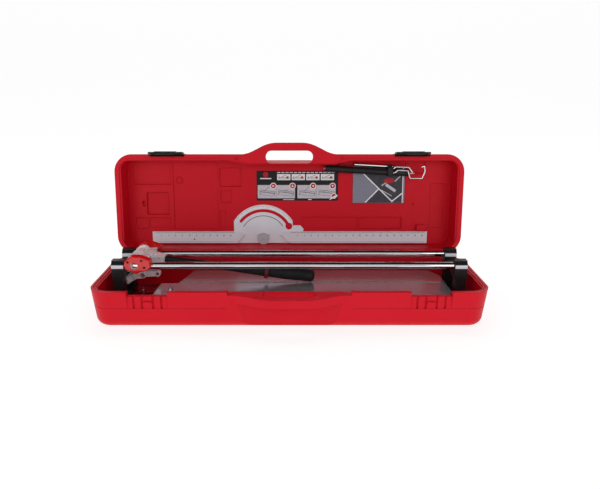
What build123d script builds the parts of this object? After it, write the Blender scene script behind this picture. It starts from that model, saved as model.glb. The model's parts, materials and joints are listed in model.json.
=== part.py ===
from build123d import *

import math
import os

# Manual tile cutter in its blow-moulded carrying case, in millimetres.
# The origin is the centre of the case underside on the floor. +X runs along the rails,
# +Y points to the case hinges and +Z is up. The lid stands open.

# Case halves. "v" is the distance from the hinge line towards the carrying handle.
CASE_W = 960.0
CASE_D = 276.0
BASE_H = 95.0
LID_H = 80.0
CORNER_R = 49.0
OUTER_DRAFT = 6.0
INNER_DRAFT = 2.0
FOOT_R = 22.0
RIM_W = 17.0
REAR_RIM_W = 13.0
FLOOR_T = 10.0
PANEL_T = 14.0
HINGE_SETBACK = 6.0
LID_LEAN = 6.5
SEAM_GAP = 0.4

HINGE_Y = CASE_D / 2 + HINGE_SETBACK
V_BACK = HINGE_SETBACK
V_FRONT = HINGE_SETBACK + CASE_D
V_MID = (V_BACK + V_FRONT) / 2
V_CAVITY = V_FRONT - RIM_W
LEAN = math.radians(LID_LEAN)

# The base plane points down into the base. The lid plane points out of the open lid.
BASE_RIM = Plane(origin=(0, HINGE_Y, BASE_H), x_dir=(1, 0, 0), z_dir=(0, 0, -1))
LID_RIM = Plane(
    origin=(0, HINGE_Y, BASE_H), x_dir=(1, 0, 0), z_dir=(0, -math.cos(LEAN), math.sin(LEAN))
)

# Carrying handle, half on each shell.
GRIP_OUT = 31.0
GRIP_HALF_FOOT = 140.0
GRIP_HALF_TOP = 34.0
GRIP_SLAB = 21.0
GRIP_DROP = 8.0
GRIP_HOLE_W = 130.0
GRIP_HOLE_D = 34.0
GRIP_HOLE_V = V_FRONT - 7.5
NOTCH_V = V_FRONT - 28.0

# Hinges and latches.
HINGE_X = (-297.0, 0.0, 297.0)
KNUCKLE_R = 5.5
PIN_R = 2.5
RUN_FIT = 0.05
LATCH_X = 336.0
LATCH_W = 92.0
LATCH_BAY_W = 97.0
LATCH_DROP = 12.0
LATCH_BAY_H = 43.0
LATCH_V = V_FRONT - 1.0
LATCH_DEEP = 14.0
LATCH_REST = 3.0
LATCH_PIN_R = 1.5
LATCH_PIN_L = 104.0
LATCH_BARREL_R = 4.5

# Lid panel, measured from the rim plane into the lid.
PANEL = -(LID_H - PANEL_T)

# Folded side support arm carried at the top of the lid panel.
ARM_W = PANEL + 16.9
ARM_TILT = math.radians(3.2)
ARM_START = (101.0, 241.2)
ARM_LEN = 234.0
ARM_R = 9.5
ARM_ROD_R = 4.0
ARM_ROD_AT = (-8.0, -15.5)
WIRE_R = 2.3
WIRE_W = PANEL + 29.2

# Tile cutter.
CUT_Y = 12.0
RAIL_GAP = 98.0
RAIL_R = 9.0
RAIL_Z = 128.0
RAIL_HALF = 437.0
SUPPORT_IN = 410.0
SUPPORT_OUT = 441.0
BEAM_HALF = 414.0
BEAM_W = 60.0
BEAM_Z = 20.0
BEAM_TOP = 48.0
BED_Z = 65.0
BED_T = 5.0
BED_HALF_D = 94.0
BED_GAP = 2.0
BED_LEFT = -285.0
BED_RIGHT = 406.0
BRACKET_X = (-212.0, 69.0, 345.0)
RAIL_Y = (CUT_Y - RAIL_GAP / 2, CUT_Y + RAIL_GAP / 2)

STUD_X = -372.0
STUD_Y = CUT_Y - 37.0
BOLT_X = -299.0
BOLT_OUT = 54.0

# Bed plate outlines as X and distance from the score line, from the rib outwards.
FRONT_OUTLINE = (
    (BED_LEFT, BED_GAP),
    (BED_RIGHT, BED_GAP),
    (BED_RIGHT, 66),
    (BED_RIGHT - 12, BED_HALF_D),
    (-338, BED_HALF_D),
    (-333, 8),
    (BED_LEFT - 7, 8),
)
BACK_OUTLINE = (
    (BED_LEFT, BED_GAP),
    (BED_RIGHT, BED_GAP),
    (BED_RIGHT, 48),
    (BED_RIGHT - 22, BED_HALF_D),
    (-262, BED_HALF_D),
)

# Carriage and lever.
CAR_LEFT = -402.0
CAR_RIGHT = -350.0
COVER_FACE = 71.0
WINDOW_X = -382.5
WINDOW_Z = 132.0
COVER_SCREWS = ((-363, 147), (-357, 129), (-397, 143))
BARREL_R = 16.0
BUSH_R = 12.0
PIVOT_X = -379.0
PIVOT_Z = 142.0
LEVER_DROP = 5.5
LEVER_DIP = math.radians(7.0)
TUBE_R = 8.0
FOOT_X = -377.0
FOOT_Z = 90.0
WHEEL_X = -400.0
WHEEL_Z = 89.4
WHEEL_R = 9.0
NOSE_W = 14.0
MAGNET_X = -341.0
GRIP_START = 190.0
GRIP_END = 448.0
BUMPER_AT = 318.0

# Angle stop stored on the lid panel.
STOP_X = -75.5
STOP_V = 36.5
STOP_R = 100.0
RULE_LOW = 25.0
RULE_HIGH = 59.5
PLATE_T = 3.0
RULE_T = 5.0

ACROSS = Plane.XZ.offset(-CUT_Y)
LEVER_DIR = (math.cos(LEVER_DIP), 0, -math.sin(LEVER_DIP))
LEVER_ROOT = (PIVOT_X, CUT_Y, PIVOT_Z - LEVER_DROP)
LEVER_END = Plane(origin=LEVER_ROOT, x_dir=(0, 1, 0), z_dir=LEVER_DIR)
LEVER_SIDE = Plane(origin=LEVER_ROOT, x_dir=LEVER_DIR, z_dir=(0, -1, 0))
LEVER_AXIS = Axis(LEVER_ROOT, LEVER_DIR)

LATCH_PIVOT = (
    HINGE_Y + LATCH_V * math.sin(LEAN) + LATCH_DEEP * math.cos(LEAN),
    BASE_H + LATCH_V * math.cos(LEAN) - LATCH_DEEP * math.sin(LEAN),
)

os.makedirs("parts", exist_ok=True)


def cavity_outline():
    """Inside edge of a case half, with the front wall drawn in behind the handle."""
    half = CASE_W / 2 - RIM_W
    with BuildSketch() as outline:
        with BuildLine():
            Polyline(
                (-half, V_BACK + REAR_RIM_W),
                (half, V_BACK + REAR_RIM_W),
                (half, V_CAVITY),
                (168, V_CAVITY),
                (122, NOTCH_V),
                (-122, NOTCH_V),
                (-168, V_CAVITY),
                (-half, V_CAVITY),
                close=True,
            )
        make_face()
        fillet(outline.vertices(), 24)
    return outline.sketch


def handle_outline(half_foot):
    """Loop of the carrying handle: it rises out of the front wall in an S-curve on each side."""
    top = V_FRONT + GRIP_OUT
    root = V_FRONT - 1
    with BuildSketch() as outline:
        with BuildLine():
            Spline((-half_foot, root), (-GRIP_HALF_TOP, top), tangents=((1, 0), (1, 0)))
            Line((-GRIP_HALF_TOP, top), (GRIP_HALF_TOP, top))
            Spline((GRIP_HALF_TOP, top), (half_foot, root), tangents=((1, 0), (1, 0)))
            Polyline(
                (half_foot, root),
                (half_foot, V_CAVITY - 2),
                (110, NOTCH_V + 3),
                (-110, NOTCH_V + 3),
                (-half_foot, V_CAVITY - 2),
                (-half_foot, root),
            )
        make_face()
    return outline.sketch


def scoop_outline():
    """Finger scoop behind the handle: it runs out of the front wall in soft curves."""
    edge = V_FRONT + 3
    deepest = NOTCH_V + 3.5
    with BuildSketch() as outline:
        with BuildLine():
            Spline((-156, edge), (-78, deepest), tangents=((1, 0), (1, 0)))
            Line((-78, deepest), (78, deepest))
            Spline((78, deepest), (156, edge), tangents=((1, 0), (1, 0)))
            Polyline((156, edge), (156, edge + 60), (-156, edge + 60), (-156, edge))
        make_face()
    return outline.sketch


def shell_half(rim, into, depth, skin):
    """Tray-shaped half of the case, open at its rim plane; into is +1 or -1 along its normal."""
    with BuildPart() as shell:
        with BuildSketch(rim):
            with Locations((0, V_MID)):
                RectangleRounded(CASE_W, CASE_D, CORNER_R)
        extrude(amount=into * depth, taper=OUTER_DRAFT)
        outward = Axis(rim.origin, rim.z_dir * into)
        fillet(shell.faces().sort_by(outward)[-1].edges(), FOOT_R)
        with BuildSketch(rim):
            add(cavity_outline())
        extrude(amount=into * (depth - skin), taper=INNER_DRAFT, mode=Mode.SUBTRACT)
        # Finger scoop in the front wall, behind the handle loop.
        with BuildSketch(rim.offset(into * GRIP_SLAB)):
            add(scoop_outline())
        extrude(amount=into * depth, taper=OUTER_DRAFT, mode=Mode.SUBTRACT)
        # Lower inner lip of the rim.
        with BuildSketch(rim):
            with Locations((0, V_MID)):
                RectangleRounded(CASE_W - 25, CASE_D - 22, CORNER_R - 12)
        extrude(amount=into * 2.5, mode=Mode.SUBTRACT)
        # Parting line half way down the outer walls.
        line_depth = 0.44 * depth
        inset = 2 * line_depth * math.tan(math.radians(OUTER_DRAFT)) + 2
        with BuildSketch(rim.offset(into * line_depth)):
            with Locations((0, V_MID)):
                RectangleRounded(CASE_W + 40, CASE_D + 40, CORNER_R)
                RectangleRounded(CASE_W - inset, CASE_D - inset, CORNER_R - 6, mode=Mode.SUBTRACT)
            with Locations((0, V_FRONT)):
                Rectangle(2 * GRIP_HALF_FOOT + 20, 90, mode=Mode.SUBTRACT)
        extrude(amount=into * 1.6, mode=Mode.SUBTRACT)
    return shell.part


def make_case_base():
    with BuildPart() as case_base:
        add(shell_half(BASE_RIM, 1, BASE_H, FLOOR_T))
        # Sealing groove along the rim.
        with BuildSketch(BASE_RIM):
            with Locations((0, V_MID)):
                RectangleRounded(CASE_W - 12, CASE_D - 12, CORNER_R - 6)
                RectangleRounded(CASE_W - 18, CASE_D - 18, CORNER_R - 9, mode=Mode.SUBTRACT)
        extrude(amount=2.2, mode=Mode.SUBTRACT)
        # The front wall is lower where the lid carries its half of the handle.
        with BuildSketch(BASE_RIM):
            with Locations((0, V_FRONT - 6)):
                Rectangle(2 * GRIP_HALF_FOOT + 12, 70)
        extrude(amount=GRIP_DROP, mode=Mode.SUBTRACT)
        with BuildSketch(BASE_RIM.offset(GRIP_DROP)):
            add(handle_outline(GRIP_HALF_FOOT))
        extrude(amount=GRIP_SLAB)
        with BuildSketch(BASE_RIM.offset(GRIP_DROP)):
            with Locations((0, GRIP_HOLE_V)):
                SlotOverall(GRIP_HOLE_W, GRIP_HOLE_D)
        extrude(amount=GRIP_SLAB, mode=Mode.SUBTRACT)
        # Latch bays: the rim steps down and the outer wall is set back, with soft flutes.
        for side in (-1, 1):
            with BuildSketch(BASE_RIM):
                with Locations((side * LATCH_X, V_FRONT)):
                    Rectangle(LATCH_BAY_W, 54)
            extrude(amount=LATCH_DROP, mode=Mode.SUBTRACT)
            with BuildSketch(BASE_RIM):
                with Locations((side * LATCH_X, V_FRONT + 10)):
                    Rectangle(LATCH_BAY_W, 31)
            extrude(amount=LATCH_BAY_H, mode=Mode.SUBTRACT)
            with BuildSketch(BASE_RIM):
                for rib in (-33, -13, 13, 33):
                    with Locations((side * LATCH_X + rib, V_FRONT - 5.5)):
                        RectangleRounded(5, 8, 2.2)
            extrude(amount=LATCH_BAY_H, mode=Mode.SUBTRACT)
            # Catch ridge for the latch hook.
            with BuildSketch(BASE_RIM.offset(25)):
                with Locations((side * LATCH_X, V_FRONT - 6)):
                    Rectangle(18, 9)
            extrude(amount=4)
        # Outer hinge knuckles with the web that joins them to the back wall.
        for x in HINGE_X:
            for start in (x - 27, x + 13):
                with BuildSketch(Plane.YZ.offset(start)):
                    with Locations((HINGE_Y, BASE_H)):
                        Circle(KNUCKLE_R)
                    with Locations((HINGE_Y - 5, BASE_H - 8)):
                        Rectangle(10, 16)
                    with Locations((HINGE_Y, BASE_H)):
                        Circle(PIN_R, mode=Mode.SUBTRACT)
                extrude(amount=14)
        # Low cradles on the floor that keep the cutter from sliding.
        with BuildSketch(Plane.XY.offset(FLOOR_T - 1)):
            with GridLocations(560, 236, 2, 2):
                RectangleRounded(90, 12, 5)
        extrude(amount=15, taper=8)
    case_base.part.label = "case_base"
    export_step(case_base.part, "parts/case_base.step")


def lid_yz(v, w):
    """Y and Z of a point v along the open lid from its hinge and w out of its rim plane."""
    return (
        HINGE_Y + v * math.sin(LEAN) - w * math.cos(LEAN),
        BASE_H + v * math.cos(LEAN) + w * math.sin(LEAN),
    )


def make_case_lid():
    with BuildPart() as case_lid:
        add(shell_half(LID_RIM.offset(-SEAM_GAP), -1, LID_H - SEAM_GAP, PANEL_T))
        # The lid's half of the handle stands past the rim and seats on the lowered base wall.
        with BuildSketch(LID_RIM.offset(GRIP_DROP - SEAM_GAP)):
            add(handle_outline(GRIP_HALF_FOOT))
        extrude(amount=-(GRIP_SLAB + GRIP_DROP))
        with BuildSketch(LID_RIM.offset(GRIP_DROP)):
            with Locations((0, GRIP_HOLE_V)):
                SlotOverall(GRIP_HOLE_W, GRIP_HOLE_D)
        extrude(amount=-(GRIP_SLAB + GRIP_DROP + 1), mode=Mode.SUBTRACT)
        # Moulded recesses of the panel, left to right.
        recesses = (
            (-448, -339, 194.5, 258.5, 4.0),
            (-411, -346, 107.5, 172, 8.0),
            (-424, -414, 131.5, 148, 8.0),
            (-444, -408, 66, 99.5, 4.0),
            (-405, -341, 70, 99.5, 3.0),
            (-333, -204, 66, 258, 3.2),
            (-200, -137, 188.5, 242, 5.0),
            (-198, -166, 143, 177, 3.0),
            (-201, -184, 68, 119.5, 2.5),
            (36, 198, 66, 100.5, 3.0),
            (202, 325, 66, 100.5, 6.0),
            (404, 445, 70, 198.5, 3.2),
            (338, 388, 226, 258, 5.0),
            (181, 332, 140, 259, 2.0),
        )
        for u0, u1, v0, v1, deep in recesses:
            with BuildSketch(LID_RIM.offset(PANEL)):
                with Locations(((u0 + u1) / 2, (v0 + v1) / 2)):
                    RectangleRounded(u1 - u0, v1 - v0, 3)
            extrude(amount=-deep, taper=10, mode=Mode.SUBTRACT)
        # Round injection mark and fixing dimple.
        with BuildSketch(LID_RIM.offset(PANEL - 3.2)):
            with Locations((-315, 206.5)):
                Circle(10)
                Circle(8, mode=Mode.SUBTRACT)
        extrude(amount=-1.5, mode=Mode.SUBTRACT)
        with BuildSketch(LID_RIM.offset(PANEL)):
            with Locations((356.5, 138)):
                Circle(3)
        extrude(amount=-4, mode=Mode.SUBTRACT)
        # Rests under the rule arms and the clip block at the right arm's end.
        with BuildSketch(LID_RIM.offset(PANEL - 0.5)):
            for u in (-388, -297, -198, 79, 178, 287, 386):
                with Locations((u, (RULE_LOW + RULE_HIGH) / 2)):
                    Rectangle(14, 24)
        extrude(amount=PLATE_T + 0.5)
        with BuildSketch(LID_RIM.offset(PANEL - 0.5)):
            with Locations((382, 70)):
                RectangleRounded(30, 18, 3)
        extrude(amount=11, taper=4)
        # Cradles that carry the support arm in front of the booklet.
        with BuildSketch(LID_RIM.offset(PANEL - 1)):
            with Locations((148.5, 238)):
                RectangleRounded(16, 30, 3)
        extrude(amount=8.4, taper=3)
        with BuildSketch(LID_RIM.offset(PANEL - 6)):
            with Locations((346.5, 229)):
                RectangleRounded(12, 18, 3)
        extrude(amount=19.5, taper=2)
        # Latch bays with pin holes in their side walls.
        for side in (-1, 1):
            with BuildSketch(LID_RIM.offset(5)):
                with Locations((side * LATCH_X, V_FRONT + 10)):
                    Rectangle(LATCH_BAY_W, 34)
            extrude(amount=-33, mode=Mode.SUBTRACT)
            with BuildSketch(Plane.YZ.offset(side * LATCH_X - LATCH_PIN_L / 2)):
                with Locations(LATCH_PIVOT):
                    Circle(LATCH_PIN_R)
            extrude(amount=LATCH_PIN_L, mode=Mode.SUBTRACT)
        # Centre hinge knuckles.
        for x in HINGE_X:
            with BuildSketch(Plane.YZ.offset(x - 12.5)):
                with Locations((HINGE_Y, BASE_H)):
                    Circle(KNUCKLE_R)
                with BuildLine():
                    Polyline(
                        lid_yz(0, 0),
                        lid_yz(9, -2),
                        lid_yz(9, -16),
                        lid_yz(0, -12),
                        close=True,
                    )
                make_face()
                with Locations((HINGE_Y, BASE_H)):
                    Circle(PIN_R + RUN_FIT, mode=Mode.SUBTRACT)
            extrude(amount=25)
    case_lid.part.label = "case_lid"
    export_step(case_lid.part, "parts/case_lid.step")


def make_hinge_pins():
    with BuildPart() as hinge_pins:
        for x in HINGE_X:
            with BuildSketch(Plane.YZ.offset(x - 27)):
                with Locations((HINGE_Y, BASE_H)):
                    Circle(PIN_R)
            extrude(amount=54)
    hinge_pins.part.label = "hinge_pins"
    export_step(hinge_pins.part, "parts/hinge_pins.step")


def make_latch(name, side):
    """Snap latch: a ribbed flap on a barrel, standing a few degrees off its clamped position."""
    turn = LEAN + math.radians(LATCH_REST)
    # Local x runs along the case, local y away from the lid wall and z out of the lid mouth.
    hinge = Plane(
        origin=(side * LATCH_X, LATCH_PIVOT[0], LATCH_PIVOT[1]),
        x_dir=(1, 0, 0),
        z_dir=(0, -math.cos(turn), math.sin(turn)),
    )
    profile = Plane(origin=hinge.origin - hinge.x_dir * (LATCH_W / 2), x_dir=hinge.z_dir, z_dir=-hinge.x_dir)
    with BuildPart() as latch:
        with BuildSketch(profile):
            Circle(LATCH_BARREL_R)
            with BuildLine():
                Polyline(
                    (-3, 4),
                    (20, 6.5),
                    (48, 4.5),
                    (50, 2),
                    (50, 0.5),
                    (3, 0.5),
                    (-3, 0),
                    close=True,
                )
            make_face()
        extrude(amount=-LATCH_W)
        # Hook lip in the middle of the free edge.
        with BuildSketch(hinge.offset(45)):
            with Locations((0, -0.6)):
                Rectangle(44, 3.6)
        extrude(amount=4)
        # Tapered wings: the free corners are cut away.
        with BuildSketch(Plane(origin=hinge.origin, x_dir=(1, 0, 0), z_dir=-hinge.y_dir)):
            for end in (-1, 1):
                with BuildLine():
                    Polyline(
                        (end * 34, 52),
                        (end * 48, 52),
                        (end * 48, 30),
                        close=True,
                    )
                make_face()
        extrude(amount=12, both=True, mode=Mode.SUBTRACT)
        # Raised finger ribs.
        for rib in (14, 22, 30):
            with BuildSketch(hinge.offset(rib)):
                with Locations((0, 6.3)):
                    Rectangle(58, 2.4)
            extrude(amount=2.5)
        with BuildSketch(profile):
            Circle(LATCH_PIN_R + RUN_FIT)
        extrude(amount=-LATCH_W, mode=Mode.SUBTRACT)
    latch.part.label = name
    export_step(latch.part, f"parts/{name}.step")


def make_latch_pins():
    with BuildPart() as latch_pins:
        for side in (-1, 1):
            with BuildSketch(Plane.YZ.offset(side * LATCH_X - LATCH_PIN_L / 2)):
                with Locations(LATCH_PIVOT):
                    Circle(LATCH_PIN_R)
            extrude(amount=LATCH_PIN_L)
    latch_pins.part.label = "latch_pins"
    export_step(latch_pins.part, "parts/latch_pins.step")


def make_instruction_sticker():
    with BuildPart() as instruction_sticker:
        with BuildSketch(LID_RIM.offset(PANEL)):
            with Locations((23, 191)):
                RectangleRounded(234, 86, 3)
        extrude(amount=0.4)
    instruction_sticker.part.label = "instruction_sticker"
    export_step(instruction_sticker.part, "parts/instruction_sticker.step")


def make_booklet():
    """A6 booklet lying in its shallow recess."""
    with BuildPart() as booklet:
        with BuildSketch(LID_RIM.offset(PANEL - 2)):
            with Locations((256.5, 194)):
                Rectangle(148, 105)
        extrude(amount=2.6)
    booklet.part.label = "booklet"
    export_step(booklet.part, "parts/booklet.step")


def arm_point(along):
    """Panel coordinates of a point on the sleeve's axis."""
    return (ARM_START[0] + along * math.cos(ARM_TILT), ARM_START[1] - along * math.sin(ARM_TILT))


def arm_plane(along):
    """Plane square to the sleeve's axis, with local y out of the lid mouth."""
    u, v = arm_point(along)
    along_dir = LID_RIM.x_dir * math.cos(ARM_TILT) - LID_RIM.y_dir * math.sin(ARM_TILT)
    centre = LID_RIM.origin + LID_RIM.x_dir * u + LID_RIM.y_dir * v + LID_RIM.z_dir * ARM_W
    return Plane(origin=centre, x_dir=LID_RIM.z_dir, z_dir=along_dir)


def make_support_arm():
    """Black sleeve, its chrome rod, the collar and the bent chrome wires."""
    with BuildPart() as support_arm_sleeve:
        with BuildSketch(arm_plane(0)):
            Circle(ARM_R)
            Circle(3, mode=Mode.SUBTRACT)
        extrude(amount=ARM_LEN)
        fillet(support_arm_sleeve.edges().filter_by(GeomType.CIRCLE).sort_by(Axis.X)[:2], 1.2)
    support_arm_sleeve.part.label = "support_arm_sleeve"
    export_step(support_arm_sleeve.part, "parts/support_arm_sleeve.step")

    with BuildPart() as support_arm_core:
        with BuildSketch(arm_plane(-4)):
            Circle(3)
        extrude(amount=ARM_LEN + 22)
    support_arm_core.part.label = "support_arm_core"
    export_step(support_arm_core.part, "parts/support_arm_core.step")

    with BuildPart() as support_arm_collar:
        with BuildSketch(arm_plane(176)):
            Circle(ARM_R + 2.6)
            with Locations((9.5, -2)):
                RectangleRounded(13, 25, 3)
            with Locations((-6, -13)):
                RectangleRounded(13, 15, 3)
            Circle(ARM_R, mode=Mode.SUBTRACT)
            with Locations(ARM_ROD_AT):
                Circle(ARM_ROD_R, mode=Mode.SUBTRACT)
        extrude(amount=13)
    support_arm_collar.part.label = "support_arm_collar"
    export_step(support_arm_collar.part, "parts/support_arm_collar.step")

    with BuildPart() as support_arm_rod:
        with BuildSketch(arm_plane(82)):
            with Locations(ARM_ROD_AT):
                Circle(ARM_ROD_R)
        extrude(amount=109)
        chamfer(support_arm_rod.edges().filter_by(GeomType.CIRCLE), 0.6)
    support_arm_rod.part.label = "support_arm_rod"
    export_step(support_arm_rod.part, "parts/support_arm_rod.step")


def make_support_wires():
    """Two bent wires that fold out of the collar and hook over the tile."""
    routes = (
        ((291.6, 241.5), (297.5, 246), (335, 245), (345.5, 231)),
        (
            (291, 229),
            (297.5, 231),
            (304, 236.5),
            (333, 235),
            (339.5, 214),
            (372.5, 214),
            (380.5, 234),
            (379.5, 249.5),
            (370.5, 245.5),
        ),
    )
    with BuildPart() as support_arm_wires:
        for route in routes:
            with BuildLine(LID_RIM.offset(WIRE_W)) as path:
                FilletPolyline(*route, radius=2.8)
            with BuildSketch(Plane(origin=path.line @ 0, z_dir=path.line % 0)):
                Circle(WIRE_R)
            sweep(path=path.line)
    support_arm_wires.part.label = "support_arm_wires"
    export_step(support_arm_wires.part, "parts/support_arm_wires.step")


def rule_outline(points):
    with BuildSketch() as outline:
        with BuildLine():
            Polyline(*points, close=True)
        make_face()
    return outline.sketch


def ring_sector(inner_r, outer_r, start, sweep):
    """Piece of a ring about the stop's pivot, from a start angle over a sweep in degrees."""
    with BuildSketch() as sector:
        with BuildLine():
            outer = CenterArc((STOP_X, STOP_V), outer_r, start, sweep)
            inner = CenterArc((STOP_X, STOP_V), inner_r, start, sweep)
            Line(outer @ 0, inner @ 0)
            Line(outer @ 1, inner @ 1)
        make_face()
    return sector.sketch


def make_angle_stop():
    """Protractor plate, its two rule arms, the hub and the lock screw."""
    plate = LID_RIM.offset(PANEL)
    with BuildPart() as stop_protractor:
        with BuildSketch(plate):
            with Locations((STOP_X, STOP_V)):
                Circle(STOP_R)
            with Locations((STOP_X, STOP_V + 100)):
                Rectangle(170, 200, mode=Mode.INTERSECT)
            with Locations((STOP_X, RULE_LOW + 60)):
                Rectangle(300, 120, mode=Mode.INTERSECT)
            with BuildLine():
                Polyline(
                    (STOP_X - 76, RULE_LOW),
                    (STOP_X + 116, RULE_LOW),
                    (STOP_X + 116, RULE_HIGH + 8),
                    (STOP_X + 107, RULE_HIGH + 17),
                    (STOP_X + 84, RULE_HIGH + 17),
                    (STOP_X - 76, STOP_V + 4),
                    close=True,
                )
            make_face()
        extrude(amount=PLATE_T)
        # Arc slot for the lock screw, ending in a round keyhole.
        with BuildSketch(plate):
            add(ring_sector(78.5, 87.5, 27, 114))
            with Locations((STOP_X, STOP_V)):
                with PolarLocations(83, 1, 27):
                    Circle(10)
                with PolarLocations(83, 1, 141):
                    Circle(4.5)
        extrude(amount=PLATE_T, mode=Mode.SUBTRACT)
        # Engraved scale line.
        with BuildSketch(plate.offset(PLATE_T - 0.5)):
            add(ring_sector(67.4, 68.6, 34, 114))
        extrude(amount=0.5, mode=Mode.SUBTRACT)
        with BuildSketch(plate):
            with Locations((STOP_X, STOP_V)):
                Circle(4)
        extrude(amount=PLATE_T, mode=Mode.SUBTRACT)
    stop_protractor.part.label = "stop_protractor"
    export_step(stop_protractor.part, "parts/stop_protractor.step")

    arms = {
        "stop_rule_left": (
            (-396.5, RULE_LOW),
            (-152, RULE_LOW),
            (-128, 51),
            (-145, RULE_HIGH),
            (-396.5, RULE_HIGH),
        ),
        "stop_rule_right": ((3, RULE_LOW), (399, RULE_LOW), (399, RULE_HIGH), (-16, RULE_HIGH), (-27, 49)),
    }
    for name, points in arms.items():
        with BuildPart() as rule:
            with BuildSketch(plate.offset(PLATE_T)):
                add(rule_outline(points))
                with Locations((-275.5, STOP_V)):
                    Circle(2.4, mode=Mode.SUBTRACT)
            extrude(amount=RULE_T)
            chamfer(rule.faces().sort_by(Axis((0, 0, 0), LID_RIM.z_dir))[-1].outer_wire().edges(), 0.8)
        rule.part.label = name
        export_step(rule.part, f"parts/{name}.step")

    with BuildPart() as stop_hub:
        with BuildSketch(plate.offset(PLATE_T)):
            with Locations((STOP_X, STOP_V + 2)):
                Circle(17)
            with BuildLine():
                Polyline(
                    (STOP_X - 17.5, STOP_V + 14),
                    (STOP_X + 17.5, STOP_V + 14),
                    (STOP_X + 17, STOP_V - 1),
                    (STOP_X, 22),
                    (STOP_X - 17, STOP_V - 1),
                    close=True,
                )
            make_face()
            with Locations((STOP_X, STOP_V)):
                Circle(4, mode=Mode.SUBTRACT)
        extrude(amount=4)
    stop_hub.part.label = "stop_hub"
    export_step(stop_hub.part, "parts/stop_hub.step")

    with BuildPart() as stop_pivot_rivet:
        with BuildSketch(plate):
            with Locations((STOP_X, STOP_V)):
                Circle(4)
        extrude(amount=PLATE_T + 4)
        with BuildSketch(plate.offset(PLATE_T + 4)):
            with Locations((STOP_X, STOP_V)):
                Circle(6.5)
        extrude(amount=1.4)
        fillet(stop_pivot_rivet.edges().sort_by(Axis((0, 0, 0), LID_RIM.z_dir))[-1], 0.9)
    stop_pivot_rivet.part.label = "stop_pivot_rivet"
    export_step(stop_pivot_rivet.part, "parts/stop_pivot_rivet.step")


def make_end_support(name, side):
    """Black casting with two rail towers on a common foot, tied by a web under the rails."""
    inner = side * SUPPORT_IN
    leg_in = side * (SUPPORT_IN + 4)
    with BuildPart() as support:
        with BuildSketch(Plane.YZ.offset(inner)):
            for y in RAIL_Y:
                with Locations((y, RAIL_Z)):
                    Circle(15)
                with Locations((y, RAIL_Z - 14)):
                    Rectangle(30, 28)
                with Locations((y, RAIL_Z + 10)):
                    Rectangle(18, 10)
        extrude(amount=side * (SUPPORT_OUT - SUPPORT_IN))
        with BuildSketch(Plane.YZ.offset(leg_in)):
            for y in RAIL_Y:
                with Locations((y, 59)):
                    Rectangle(27, 86)
            with Locations((CUT_Y, 27)):
                RectangleRounded(RAIL_GAP + 44, 26, 5)
            with Locations((CUT_Y, 109)):
                Rectangle(RAIL_GAP, 18)
        extrude(amount=side * 26)
        # Lightening recess in the outer face of each tower.
        with BuildSketch(Plane.YZ.offset(side * (SUPPORT_IN + 30))):
            for y in RAIL_Y:
                with Locations((y, 70)):
                    RectangleRounded(15, 44, 4)
        extrude(amount=-side * 8, mode=Mode.SUBTRACT)
        with BuildSketch(Plane.YZ.offset(inner)):
            for y in RAIL_Y:
                with Locations((y, RAIL_Z)):
                    Circle(RAIL_R)
        extrude(amount=side * (RAIL_HALF - SUPPORT_IN), mode=Mode.SUBTRACT)
        # Seats for the end screws.
        with BuildSketch(Plane.YZ.offset(side * RAIL_HALF)):
            for y in RAIL_Y:
                with Locations((y, RAIL_Z)):
                    Circle(2.5)
        extrude(amount=side * 4, mode=Mode.SUBTRACT)
    support.part.label = name
    export_step(support.part, f"parts/{name}.step")


def make_rail(name, y):
    with BuildPart() as rail:
        with BuildSketch(Plane.YZ.offset(-RAIL_HALF)):
            with Locations((y, RAIL_Z)):
                Circle(RAIL_R)
        extrude(amount=2 * RAIL_HALF)
        for start in (-RAIL_HALF, RAIL_HALF - 16):
            with BuildSketch(Plane.YZ.offset(start)):
                with Locations((y, RAIL_Z)):
                    Circle(2.5)
            extrude(amount=16, mode=Mode.SUBTRACT)
    rail.part.label = name
    export_step(rail.part, f"parts/{name}.step")


def make_rail_bands():
    """Bright clamp bands around the towers at rail height."""
    with BuildPart() as rail_bands:
        for side in (-1, 1):
            with BuildSketch(Plane.YZ.offset(side * (SUPPORT_IN + 0.5))):
                for y in RAIL_Y:
                    with Locations((y, RAIL_Z)):
                        Circle(16.4)
                for y in RAIL_Y:
                    with Locations((y, RAIL_Z)):
                        Circle(15, mode=Mode.SUBTRACT)
                    with Locations((y, RAIL_Z - 20)):
                        Rectangle(50, 32, mode=Mode.SUBTRACT)
                    with Locations((y, RAIL_Z + 20)):
                        Rectangle(50, 31, mode=Mode.SUBTRACT)
                    with Locations((y, RAIL_Z - 14)):
                        Rectangle(30, 28, mode=Mode.SUBTRACT)
            extrude(amount=side * (SUPPORT_OUT - SUPPORT_IN - 1))
    rail_bands.part.label = "rail_bands"
    export_step(rail_bands.part, "parts/rail_bands.step")


def make_end_screws():
    """Screws that pull each rail end against its tower."""
    with BuildPart() as end_screws:
        for side in (-1, 1):
            with BuildSketch(Plane.YZ.offset(side * (RAIL_HALF - 14))):
                for y in RAIL_Y:
                    with Locations((y, RAIL_Z)):
                        Circle(2.5)
            extrude(amount=side * (SUPPORT_OUT - RAIL_HALF + 14))
            with BuildSketch(Plane.YZ.offset(side * SUPPORT_OUT)):
                for y in RAIL_Y:
                    with Locations((y, RAIL_Z)):
                        Circle(5)
                        RegularPolygon(2.4, 6, mode=Mode.SUBTRACT)
            extrude(amount=side * 2.6)
    end_screws.part.label = "end_screws"
    export_step(end_screws.part, "parts/end_screws.step")


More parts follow.
